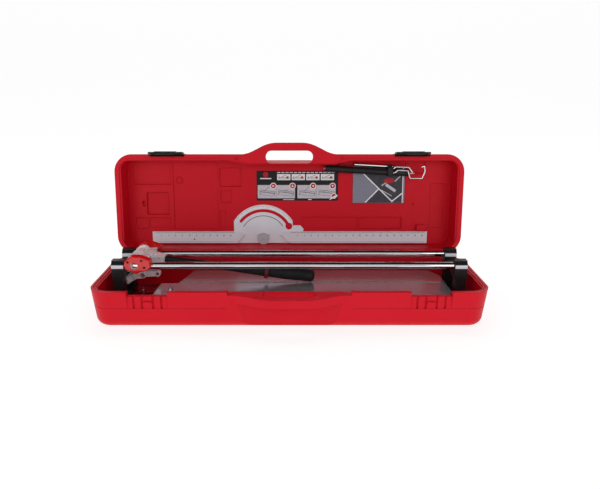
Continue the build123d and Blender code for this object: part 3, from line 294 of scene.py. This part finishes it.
def bed_sheet():
    """Smooth extruded bed plate: long draw lines, hairline scratches and dull worn patches. Its grey is tinted
    pink, a painted reflection of the red lid.
    """
    finish = Finish("bed_sheet", (0.6, 0.56, 0.6), 0.24, Metallic=0.8)
    finish.color_mix(finish.ramp(finish.noise(9, 5), 0.4, 0.72, 0, 0.45), (0.52, 0.49, 0.53))
    scratches = finish.ramp(finish.noise(420, 6, (0.015, 1, 1)), 0.66, 0.7, 0, 0.25)
    finish.color_mix(scratches, (0.74, 0.73, 0.75))
    finish.roughness(finish.noise(240, 6, (0.02, 1, 1)), 0.22, 0.27)
    finish.bump(finish.noise(900, 3, (0.01, 1, 1)), 0.000004, 0.3)
    return finish.material


def turned_steel(name="turned_steel", color=(0.6, 0.6, 0.62), roughness=0.26):
    """Turned or rolled bright steel, a little stained."""
    finish = Finish(name, color, roughness, Metallic=1.0)
    stain = [0.6 * channel for channel in color]
    finish.color_mix(finish.ramp(finish.noise(120, 5), 0.45, 0.75, 0, 0.5), stain)
    finish.roughness(finish.noise(400, 5), roughness - 0.06, roughness + 0.12)
    finish.bump(finish.noise(1600, 2), 0.00005, 0.5)
    return finish.material


def metallic_paint():
    """Dark metallic paint of the beam under the bed."""
    finish = Finish("metallic_paint", (0.3, 0.26, 0.28), 0.22, Metallic=1.0)
    finish.color_mix(finish.ramp(finish.noise(60, 4), 0.4, 0.7, 0, 0.5), (0.22, 0.19, 0.2))
    finish.roughness(finish.noise(200, 4), 0.18, 0.3)
    finish.bump(finish.noise(1200, 2), 0.00002, 0.4)
    return finish.material


def sintered_bronze():
    """Porous bush bronze."""
    finish = Finish("sintered_bronze", (0.55, 0.36, 0.14), 0.38, Metallic=1.0)
    finish.color_mix(finish.ramp(finish.noise(300, 5), 0.45, 0.7, 0, 0.6), (0.34, 0.22, 0.1))
    finish.roughness(finish.noise(500, 4), 0.3, 0.5)
    finish.bump(finish.noise(2400, 2), 0.0001, 0.6)
    return finish.material


def printed(name, color, shade, roughness=0.32):
    """Printed film or coated paper in one ink, with a dot-fine unevenness."""
    finish = Finish(name, color, roughness, Specular_IOR_Level=0.25)
    finish.color_mix(finish.ramp(finish.noise(130, 5), 0.4, 0.72, 0, 0.5), shade)
    finish.roughness(finish.noise(300, 3), roughness - 0.06, roughness + 0.1)
    finish.bump(finish.noise(1500, 2), 0.00003, 0.4)
    return finish.material


def paper_edges():
    """Cut edge of a stack of pages: fine layers through the stack's thickness."""
    finish = Finish("paper_edges", (0.72, 0.71, 0.7), 0.8)
    finish.color_mix(finish.ramp(finish.noise(2500, 2, (0.02, 1, 1)), 0.4, 0.65, 0, 0.8), (0.45, 0.44, 0.43))
    finish.bump(finish.noise(2500, 2, (0.02, 1, 1)), 0.0001, 0.6)
    return finish.material


RED_CASE = case_plastic()
STEEL = turned_steel()
BLACK_PLASTIC = black_plastic()
RUBBER = black_rubber()
CHROME = chrome()
CASTING = cast_aluminium()
ANODISED = anodised_sheet()
INK_BLACK = printed("ink_black", (0.012, 0.012, 0.014), (0.02, 0.019, 0.022))
INK_WHITE = printed("ink_white", (0.86, 0.85, 0.86), (0.72, 0.71, 0.73))
INK_PALE = printed("ink_pale", (0.56, 0.53, 0.58), (0.68, 0.65, 0.7))
INK_LINE = printed("ink_line", (0.1, 0.09, 0.11), (0.2, 0.19, 0.22))
INK_RED = printed("ink_red", (0.5, 0.01, 0.02), (0.36, 0.008, 0.016))
INK_SLATE = printed("ink_slate", (0.22, 0.22, 0.28), (0.27, 0.27, 0.33))
INK_DUSK = printed("ink_dusk", (0.045, 0.042, 0.055), (0.08, 0.075, 0.09))
PAPER_EDGES = paper_edges()

SLOT_FINISH = {
    "case_red": RED_CASE,
    "housing_red": housing_plastic(),
    "black_cast": powder_coat(),
    "beam_grey": metallic_paint(),
    # Blackened screw heads with a red tint painted in: a painted reflection of the red covers around them.
    "black_screws": turned_steel("black_oxide_painted_reflection", (0.1, 0.02, 0.022), 0.34),
    "black_plastic": BLACK_PLASTIC,
    "black_rubber": RUBBER,
    "chrome": CHROME,
    "cast_aluminium": CASTING,
    "anodised": ANODISED,
    "bed_grey": bed_sheet(),
    "steel": STEEL,
    "carbide": turned_steel("carbide", (0.4, 0.4, 0.42), 0.2),
    "bronze": sintered_bronze(),
    "paper": INK_SLATE,
    "sticker": INK_BLACK,
    "dark_red": red_rubber(),
}
ZINC = zinc_plate()
# Nodes that look different from the rest of their slot.
NODE_FINISH = {"stop_hub": ZINC, "stop_pivot_rivet": ZINC}


def dress_cad_nodes():
    """Gives each CAD node its own finish, or else the finish of its record slot."""
    slots = {entry["node"]: entry["material_slot"] for entry in frame["record"]["subparts"]}
    for name, node in frame["nodes"].items():
        node.data.materials.clear()
        node.data.materials.append(NODE_FINISH.get(name, SLOT_FINISH[slots[name]]))


# ---------------------------------------------------------------- mesh helpers


def prism(builder, outline, low, high):
    """Closed prism over an outline of (x, y) points, between two heights."""
    bottom = [builder.verts.new((x, y, low)) for x, y in outline]
    top = [builder.verts.new((x, y, high)) for x, y in outline]
    builder.faces.new(list(reversed(bottom)))
    builder.faces.new(top)
    for here in range(len(outline)):
        after = (here + 1) % len(outline)
        builder.faces.new((bottom[here], bottom[after], top[after], top[here]))


def rounded_box(left, low, right, high, radius=0.0, steps=5):
    """Anticlockwise outline of a rectangle with round corners."""
    if radius == 0:
        return [(left, low), (right, low), (right, high), (left, high)]
    corners = (
        (right - radius, low + radius, -90),
        (right - radius, high - radius, 0),
        (left + radius, high - radius, 90),
        (left + radius, low + radius, 180),
    )
    outline = []
    for x, y, start in corners:
        for step in range(steps + 1):
            angle = math.radians(start + 90 * step / steps)
            outline.append((x + radius * math.cos(angle), y + radius * math.sin(angle)))
    return outline


def disc(x, y, radius, steps=32):
    """Outline of a circle."""
    angles = [2 * math.pi * step / steps for step in range(steps)]
    return [(x + radius * math.cos(angle), y + radius * math.sin(angle)) for angle in angles]


def stroke(start, end, width):
    """Outline of a straight line of that width."""
    along = Vector(end) - Vector(start)
    across = Vector((-along.y, along.x)).normalized() * (width / 2)
    corners = (Vector(start) - across, Vector(end) - across, Vector(end) + across, Vector(start) + across)
    return [tuple(corner) for corner in corners]


def arc_band(centre, inner, outer, start, end, step=2):
    """Outlines of short blocks that make up a band round a centre, in degrees."""
    blocks = []
    for degree in range(start, end, step):
        corners = []
        after = degree + step
        for radius, turn in ((inner, degree), (outer, degree), (outer, after), (inner, after)):
            angle = math.radians(turn)
            corners.append((centre.x + radius * math.cos(angle), centre.y + radius * math.sin(angle)))
        blocks.append(corners)
    return blocks


def make_piece(name, builder, matrix, material, body, smooth=False):
    """Turns a mesh builder into a named piece that rides on a body."""
    bmesh.ops.transform(builder, matrix=matrix, verts=builder.verts)
    bmesh.ops.recalc_face_normals(builder, faces=builder.faces)
    mesh = bpy.data.meshes.new(name)
    builder.to_mesh(mesh)
    builder.free()
    mesh.materials.append(material)
    for polygon in mesh.polygons:
        polygon.use_smooth = smooth
    piece = bpy.data.objects.new(name, mesh)
    bpy.context.scene.collection.objects.link(piece)
    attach(piece, body)
    return piece


def flat_prints(name, outlines, low, high, material, body):
    """One piece made of several flat printed or engraved shapes on the lid."""
    builder = bmesh.new()
    for outline in outlines:
        prism(builder, outline, low, high)
    return make_piece(name, builder, LID, material, body)


# ---------------------------------------------------------------- sticker

# Thickness of one printed layer on paper or film.
FILM = 0.1
PICTOGRAM_SIZE = (38.0, 17.5)
PICTOGRAM_PITCH = 41.6
PANEL_LOW = 7.0
PANEL_HIGH = 45.0
BADGE_RIM = 9.2
BADGE_CENTRE = 6.9
CORNER_RIM = 8.2
CORNER_CENTRE = 6.0
ARROW_RADIUS = 4.2
DOT_RADIUS = 3.2
MARK_RADIUS = 7.5
DASH_PITCH = 12.0
DASH_LENGTH = 9.0


def sticker_pictogram(left, low, width, height):
    """Small generic drawing of a cutter: two rails, a lever and its grip."""
    base = low + height * 0.22
    lines = (
        ((left + 3, base), (left + width - 3, base)),
        ((left + 3, base + 4), (left + width - 3, base + 4)),
        ((left + 6, base), (left + 6, base + 9)),
        ((left + width - 6, base), (left + width - 6, base + 9)),
        ((left + width * 0.3, base + 5), (left + width * 0.72, base + 11)),
    )
    return [stroke(start, end, 1.0) for start, end in lines]


def sticker_sketch(left, low, width, rise):
    """Larger drawing of the open cutter on its bed, lever raised by rise."""
    right = left + width
    deck = [(left + 5, low + 10), (right - 10, low + 5), (right - 4, low + 12), (left + 11, low + 17)]
    lines = [
        ((left + 6, low + 19), (left + width - 5, low + 13)),
        ((left + 9, low + 23), (left + width - 3, low + 17)),
        ((left + 7, low + 9), (left + 7, low + 24)),
        ((left + width - 5, low + 6), (left + width - 4, low + 19)),
        ((left + width * 0.35, low + 19), (left + width * 0.62, low + 19 + rise)),
    ]
    edges = [stroke(deck[i], deck[(i + 1) % 4], 0.8) for i in range(4)]
    return edges + [stroke(start, end, 1.1) for start, end in lines]


def make_sticker():
    """Printed film on the black sticker: pictograms, two picture panels and step badges."""
    low, high = local_box("instruction_sticker", LID)
    left, base, top = low.x, low.y, high.z
    wide, tall = PICTOGRAM_SIZE
    boxes = [(left + 59 + PICTOGRAM_PITCH * index, base + 59) for index in range(4)]
    panels = ((left + 3, left + 110), (left + 117, left + 227))
    badges = [(left + x, base + 42.5) for x in (48, 103, 162, 218)]
    corner = (left + 222, base + 14)

    first = top + FILM
    flat_prints(
        "sticker_boxes",
        [rounded_box(x, y, x + wide, y + tall, 0.8) for x, y in boxes],
        top, first, INK_WHITE, "lid",
    )
    flat_prints(
        "sticker_panels",
        [rounded_box(start, base + PANEL_LOW, end, base + PANEL_HIGH, 1.2) for start, end in panels],
        top, first, INK_PALE, "lid",
    )
    # A plain disc over a rule, and a row of dashes.
    mark = disc(left + 26, base + 75, MARK_RADIUS, 40)
    flat_prints("sticker_mark", [mark], top, first, INK_RED, "lid")
    starts = [left + 59 + DASH_PITCH * index for index in range(14)]
    dashes = [rounded_box(start, base + 80, start + DASH_LENGTH, base + 82) for start in starts]
    flat_prints(
        "sticker_rules",
        dashes + [
            rounded_box(left + 10, base + 62, left + 42, base + 65),
            rounded_box(left + 76, base + 2.5, left + 108, base + 4),
            rounded_box(left + 148, base + 2.5, left + 158, base + 5),
        ],
        top, first, INK_WHITE, "lid",
    )
    second = first + FILM
    drawings = []
    for x, y in boxes:
        drawings += sticker_pictogram(x, y, wide, tall)
    for start, end in panels:
        half = (end - start) / 2
        drawings += sticker_sketch(start, base + 8, half, 14)
        drawings += sticker_sketch(start + half, base + 8, half, 4)
        drawings.append(stroke((start + half, base + 9), (start + half, base + 43), 0.7))
    flat_prints("sticker_drawings", drawings, first, second, INK_LINE, "lid")
    flat_prints(
        "sticker_dots",
        [disc(x + wide - 9, y + 8, DOT_RADIUS, 20) for x, y in boxes],
        second, second + FILM, INK_RED, "lid",
    )
    rings = [disc(x, y, BADGE_RIM, 40) for x, y in badges] + [disc(*corner, CORNER_RIM, 40)]
    discs = [disc(x, y, BADGE_CENTRE, 36) for x, y in badges] + [disc(*corner, CORNER_CENTRE, 36)]
    flat_prints("sticker_badges", rings, second, second + FILM, INK_WHITE, "lid")
    third = second + 2 * FILM
    flat_prints("sticker_badge_centres", discs, second + FILM, third, INK_RED, "lid")
    # Each badge holds a small pale arrowhead that turns a quarter from one step to the next.
    arrows = []
    for index, (x, y) in enumerate(badges):
        points = []
        for angle in (0, 130, 230):
            turn = math.radians(angle + 90 * index)
            points.append((x + ARROW_RADIUS * math.cos(turn), y + ARROW_RADIUS * math.sin(turn)))
        arrows.append(points)
    x, y = corner
    arrows.append([(x - 13, y - 12), (x + 11, y - 1), (x + 9, y + 3.5), (x - 9, y - 5)])
    flat_prints("sticker_arrows", arrows, third, third + FILM, INK_WHITE, "lid")


# ---------------------------------------------------------------- booklet

LEAVES = 5
# Share of a leaf's room that its paper fills.
LEAF_FILL = 0.86
BOOKLET_CORNER = 1.2
BAND_WIDTH = 3.2
STAPLE_HALF = 6.0

def make_booklet():
    """Stapled booklet: a fanned stack of pages under a printed cover."""
    low, high = local_box("booklet", LID)
    leaf = (high.z - low.z) / (LEAVES + 1)
    pages = bmesh.new()
    for index in range(LEAVES):
        creep = 0.25 * index
        level = low.z + leaf * index
        near, far = low.x + 0.4 * creep, high.x - 0.4 - creep
        bottom = low.y + 1.6 - 0.5 * creep
        outline = rounded_box(near, bottom, far, high.y - creep, BOOKLET_CORNER)
        prism(pages, outline, level, level + leaf * LEAF_FILL)
    booklet = make_piece("booklet_pages", pages, LID, PAPER_EDGES, "lid")
    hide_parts("booklet")

    cover_low = low.z + leaf * LEAVES
    cover_high = high.z - 3 * FILM
    cover = rounded_box(low.x, low.y, high.x, high.y, BOOKLET_CORNER)
    flat_prints("booklet_cover", [cover], cover_low, cover_high, INK_SLATE, "lid")

    def at(x, y):
        return (low.x + x, low.y + y)

    # Cover print: a picture field right of a long diagonal, a dark wedge and white bands.
    first = cover_high + FILM
    field = [at(112, 6), at(142, 29), at(142, 103.5), at(8, 103.5)]
    wedge = [at(36, 0.6), at(110, 0.6), at(112, 5), at(74, 40)]
    corner = [at(114, 0.6), at(142, 0.6), at(142, 27), at(112, 4)]
    flat_prints("booklet_field", [field, wedge, corner], cover_high, first, INK_DUSK, "lid")
    second = first + FILM
    bands = [
        stroke(at(9, 103), at(112.5, 5), BAND_WIDTH),
        stroke(at(36, 1.5), at(74, 40.5), BAND_WIDTH),
        stroke(at(112, 4), at(142, 28.5), BAND_WIDTH),
        stroke(at(142.5, 0.6), at(142.5, 103.4), 2.4),
    ]
    flat_prints("booklet_bands", bands, first, second, INK_WHITE, "lid")
    tool_body = [at(88, 60), at(96, 56), at(112, 58), at(119, 63), at(114, 70), at(98, 71), at(89, 67)]
    flat_prints("booklet_tool_body", [tool_body], first, second, INK_RED, "lid")
    tool_arm = [
        stroke(at(94, 53), at(122, 34), 8),
        stroke(at(82, 50), at(97, 60), 3),
        stroke(at(80, 38), at(112, 20), 2),
        stroke(at(120, 62), at(136, 78), 3),
    ]
    flat_prints("booklet_tool_arm", tool_arm, first, second, INK_PALE, "lid")
    staples = bmesh.new()
    for y in (26, 78):
        wire = stroke(at(1.0, y - STAPLE_HALF), at(1.0, y + STAPLE_HALF), 0.8)
        prism(staples, wire, cover_high, cover_high + 0.3)
    make_piece("booklet_staples", staples, LID, STEEL, "lid")


# ---------------------------------------------------------------- angle stop marks

SEGMENTS = {
    "0": "abcdef",
    "1": "bc",
    "2": "abged",
    "3": "abgcd",
    "4": "fgbc",
    "5": "afgcd",
    "6": "afgedc",
    "7": "abc",
    "8": "abcdefg",
    "9": "abcdfg",
}
# Thickness of one printed layer on the metal scales.
MARK_T = 0.06
RULE_EDGE = 1.2
RULE_NUMBER_DROP = 12.5
RULE_NUMBER_HEIGHT = 4.2
SCALE_RADIUS = 99.0
SCALE_INNER = 91.0
ARC_RADIUS = 68.0


def digit_strokes(text, x, y, height):
    """A number centred on x, drawn with straight strokes."""
    wide = height * 0.5
    ends = {
        "a": ((0, 1), (1, 1)),
        "b": ((1, 1), (1, 0.5)),
        "c": ((1, 0.5), (1, 0)),
        "d": ((0, 0), (1, 0)),
        "e": ((0, 0.5), (0, 0)),
        "f": ((0, 1), (0, 0.5)),
        "g": ((0, 0.5), (1, 0.5)),
    }
    outlines = []
    pitch = wide * 1.7
    start = x - (len(text) - 1) * pitch / 2 - wide / 2
    for place, digit in enumerate(text):
        left = start + place * pitch
        for segment in SEGMENTS[digit]:
            (x0, y0), (x1, y1) = ends[segment]
            tip = (left + x1 * wide, y + y1 * height)
            outlines.append(stroke((left + x0 * wide, y + y0 * height), tip, height * 0.14))
    return outlines


def make_rule_marks(node, start, count):
    """Millimetre scale along a ruler arm's upper edge, with a number each 20 mm."""
    low, high = local_box(node, LID)
    top = high.z
    edge = high.y - RULE_EDGE
    outlines = []
    for step in range(count):
        x = start + step
        length = 6.5 if step % 10 == 0 else 4.8 if step % 5 == 0 else 3.2
        outlines.append(stroke((x, edge - length), (x, edge), 0.34))
        if step % 20 == 0 and step:
            number = str(step // 10)
            outlines += digit_strokes(number, x, edge - RULE_NUMBER_DROP, RULE_NUMBER_HEIGHT)
    outlines.append(stroke((low.x + 6, low.y + 4), (start + count, low.y + 4), 0.5))
    flat_prints(f"{node}_marks", outlines, top, top + MARK_T, INK_LINE, "stop")


def make_protractor_marks():
    """Pale outer band with its degree scale, its paleness also a painted highlight of the band's bevel, and the
    dark arc inside the slot, a painted shade along the step there.
    """
    rivet_low, rivet_high = local_box("stop_pivot_rivet", LID)
    centre = ((rivet_low + rivet_high) / 2).xy
    # The plate carries the scale on its own face, below the arms, the hub and the rivet.
    top = local_box("stop_rule_left", LID)[0].z
    # The degree scale sits on a pale band; its paleness is a painted highlight of the band's bevel.
    band = arc_band(centre, SCALE_INNER, SCALE_RADIUS, 33, 147)
    flat_prints("stop_scale_band", band, top, top + MARK_T, INK_WHITE, "stop")
    # Dark arc line where the plate has a step: painted shade along the step.
    arc = arc_band(centre, ARC_RADIUS - 1, ARC_RADIUS + 1, 34, 148)
    flat_prints("stop_arc_line", arc, top, top + MARK_T, INK_LINE, "stop")
    outlines = []
    for degree in range(34, 147):
        turn = math.radians(degree)
        way = Vector((math.cos(turn), math.sin(turn)))
        length = 5.0 if degree % 10 == 0 else 3.8 if degree % 5 == 0 else 2.4
        end_radius = SCALE_RADIUS - 1
        start, end = centre + way * (end_radius - length), centre + way * end_radius
        outlines.append(stroke(start, end, 0.36))
    flat_prints("stop_degree_marks", outlines, top + MARK_T, top + 2 * MARK_T, INK_LINE, "stop")


# ---------------------------------------------------------------- lever grip

GRIP_RING_PITCH = 5.0
GRIP_RINGS = 6
GRIP_RING_START = 13.0
GRIP_RING_DEPTH = 1.7
GRIP_TUBE = 8.4
GRIP_NECK = 10.6
GRIP_WAIST = 17.3
GRIP_SWELL = 0.7
GRIP_SHOULDER = 5.0
GRIP_CAP = 9.0
GRIP_SIDES = 64
GRIP_STATIONS = 160


def make_grip():
    """Moulded rubber grip: a slightly oval swelling body, end rings and a rounded cap."""
    low, high = local_box("handle_grip", LEVER)
    start, end = low.x, high.x
    stations = []
    length = end - start
    for step in range(GRIP_STATIONS + 1):
        along = start + length * step / GRIP_STATIONS
        share = (along - start) / length
        if share < GRIP_SWELL:
            radius = GRIP_NECK + (GRIP_WAIST - GRIP_NECK) * (share / GRIP_SWELL) ** 0.85
        else:
            radius = GRIP_WAIST - 1.5 * ((share - GRIP_SWELL) / (1 - GRIP_SWELL)) ** 2
        # Soft shoulder at the tube and round cap at the end.
        from_start, from_end = along - start, end - along
        if from_start < GRIP_SHOULDER:
            rise = math.sqrt(1 - (1 - from_start / GRIP_SHOULDER) ** 2)
            radius = GRIP_TUBE + (radius - GRIP_TUBE) * rise
        if from_end < GRIP_CAP:
            radius *= math.sqrt(max(0.02, 1 - (1 - from_end / GRIP_CAP) ** 2))
        ring = (from_end - GRIP_RING_START) / GRIP_RING_PITCH
        if 0 <= ring < GRIP_RINGS and ring % 1 > 0.2:
            wave = max(0.0, math.cos(2 * math.pi * (ring - 0.5)))
            radius -= GRIP_RING_DEPTH * wave ** 1.5
        stations.append((along, radius))
    builder = bmesh.new()
    rows = []
    for along, radius in stations:
        row = []
        for side in range(GRIP_SIDES):
            turn = 2 * math.pi * side / GRIP_SIDES
            oval = 1 - 0.03 * abs(math.sin(turn)) ** 3
            reach = radius * oval
            row.append(builder.verts.new((along, reach * math.cos(turn), reach * math.sin(turn))))
        rows.append(row)
    for one, two in zip(rows, rows[1:]):
        for side in range(GRIP_SIDES):
            after = (side + 1) % GRIP_SIDES
            builder.faces.new((one[side], one[after], two[after], two[side]))
    builder.faces.new(list(reversed(rows[0])))
    builder.faces.new(rows[-1])
    grip = make_piece("grip_rubber", builder, LEVER, RUBBER, "handle", smooth=True)
    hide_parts("handle_grip")


# ---------------------------------------------------------------- studio

FLOOR_HALF = 9.0
FLOOR_FRONT = -6.0
SWEEP_START = 3.0
SWEEP_RADIUS = 2.5
SWEEP_STEPS = 12
BACKDROP_TOP = 8.0

def make_floor():
    """Plain pale sweep, glowing a little: a floor that curves up far behind the case."""
    builder = bmesh.new()
    profile = [(FLOOR_FRONT, 0.0), (SWEEP_START, 0.0)]
    for step in range(1, SWEEP_STEPS + 1):
        turn = math.pi / 2 * step / SWEEP_STEPS
        y = SWEEP_START + SWEEP_RADIUS * math.sin(turn)
        profile.append((y, SWEEP_RADIUS * (1 - math.cos(turn))))
    profile.append((SWEEP_START + SWEEP_RADIUS, BACKDROP_TOP))
    rows = [[builder.verts.new((side * FLOOR_HALF, y, z)) for side in (-1, 1)] for y, z in profile]
    for one, two in zip(rows, rows[1:]):
        builder.faces.new((one[0], one[1], two[1], two[0]))
    mesh = bpy.data.meshes.new("floor")
    builder.to_mesh(mesh)
    builder.free()
    for polygon in mesh.polygons:
        polygon.use_smooth = True
    paint = Finish("floor_paint", (0.34, 0.34, 0.34), 0.8, Specular_IOR_Level=0.05)
    paint.shader.inputs["Emission Color"].default_value = (1, 1, 1, 1)
    paint.shader.inputs["Emission Strength"].default_value = 0.78
    mesh.materials.append(paint.material)
    floor = bpy.data.objects.new("floor", mesh)
    bpy.context.scene.collection.objects.link(floor)


def make_world():
    """White backdrop and soft light, seen dark in gloss so that metal has contrast."""
    world = bpy.data.worlds.new("studio")
    bpy.context.scene.world = world
    world.use_nodes = True
    tree = world.node_tree
    path = tree.nodes.new("ShaderNodeLightPath")
    soft = tree.nodes["Background"]
    soft.inputs["Color"].default_value = (1, 1, 1, 1)
    soft.inputs["Strength"].default_value = 0.45
    dark = tree.nodes.new("ShaderNodeBackground")
    dark.inputs["Color"].default_value = (0.015, 0.015, 0.017, 1)
    mix = tree.nodes.new("ShaderNodeMixShader")
    tree.links.new(path.outputs["Is Glossy Ray"], mix.inputs["Fac"])
    tree.links.new(soft.outputs["Background"], mix.inputs[1])
    tree.links.new(dark.outputs["Background"], mix.inputs[2])
    white = tree.nodes.new("ShaderNodeBackground")
    white.inputs["Color"].default_value = (0.98, 0.98, 0.98, 1)
    backdrop = tree.nodes.new("ShaderNodeMixShader")
    tree.links.new(path.outputs["Is Camera Ray"], backdrop.inputs["Fac"])
    tree.links.new(mix.outputs["Shader"], backdrop.inputs[1])
    tree.links.new(white.outputs["Background"], backdrop.inputs[2])
    tree.links.new(backdrop.outputs["Shader"], tree.nodes["World Output"].inputs["Surface"])


def softbox(name, place, target, size, power, in_gloss=True):
    """Rectangular area light that faces a target; in_gloss shows it in reflections."""
    light = bpy.data.lights.new(name, "AREA")
    light.shape = "RECTANGLE"
    light.size, light.size_y = size
    light.energy = power
    lamp = bpy.data.objects.new(name, light)
    lamp.location = place
    lamp.visible_glossy = in_gloss
    lamp.rotation_euler = (Vector(target) - Vector(place)).to_track_quat("-Z", "Y").to_euler()
    bpy.context.scene.collection.objects.link(lamp)


def make_lights():
    softbox("strip_front", (0, -2.7, 1.35), (0, 0, 0.15), (3.6, 0.8), 13)
    softbox("side_left", (-1.45, -1.9, 0.45), (0, 0, 0.2), (1.3, 1.3), 6)
    softbox("side_right", (1.45, -1.9, 0.45), (0, 0, 0.2), (1.3, 1.3), 6)
    softbox("top_back", (0, 0.9, 2.3), (0, 0, 0.1), (2.6, 0.8), 8, in_gloss=False)


def make_camera():
    """Front view from a little above the open lid, looking gently down."""
    data = bpy.data.cameras.new("camera")
    data.sensor_width = 36
    data.lens = 34.33
    data.shift_x = 0.0177
    camera = bpy.data.objects.new("camera", data)
    camera.location = (0, -1.389, 0.591)
    camera.rotation_euler = (math.radians(73.18), 0, 0)
    bpy.context.scene.collection.objects.link(camera)
    bpy.context.scene.camera = camera


dress_cad_nodes()
make_sticker()
make_booklet()
make_rule_marks("stop_rule_left", -390, 231)
make_rule_marks("stop_rule_right", 4, 388)
make_protractor_marks()
make_grip()
make_floor()
make_world()
make_lights()
make_camera()
bpy.context.scene.view_settings.view_transform = "Standard"
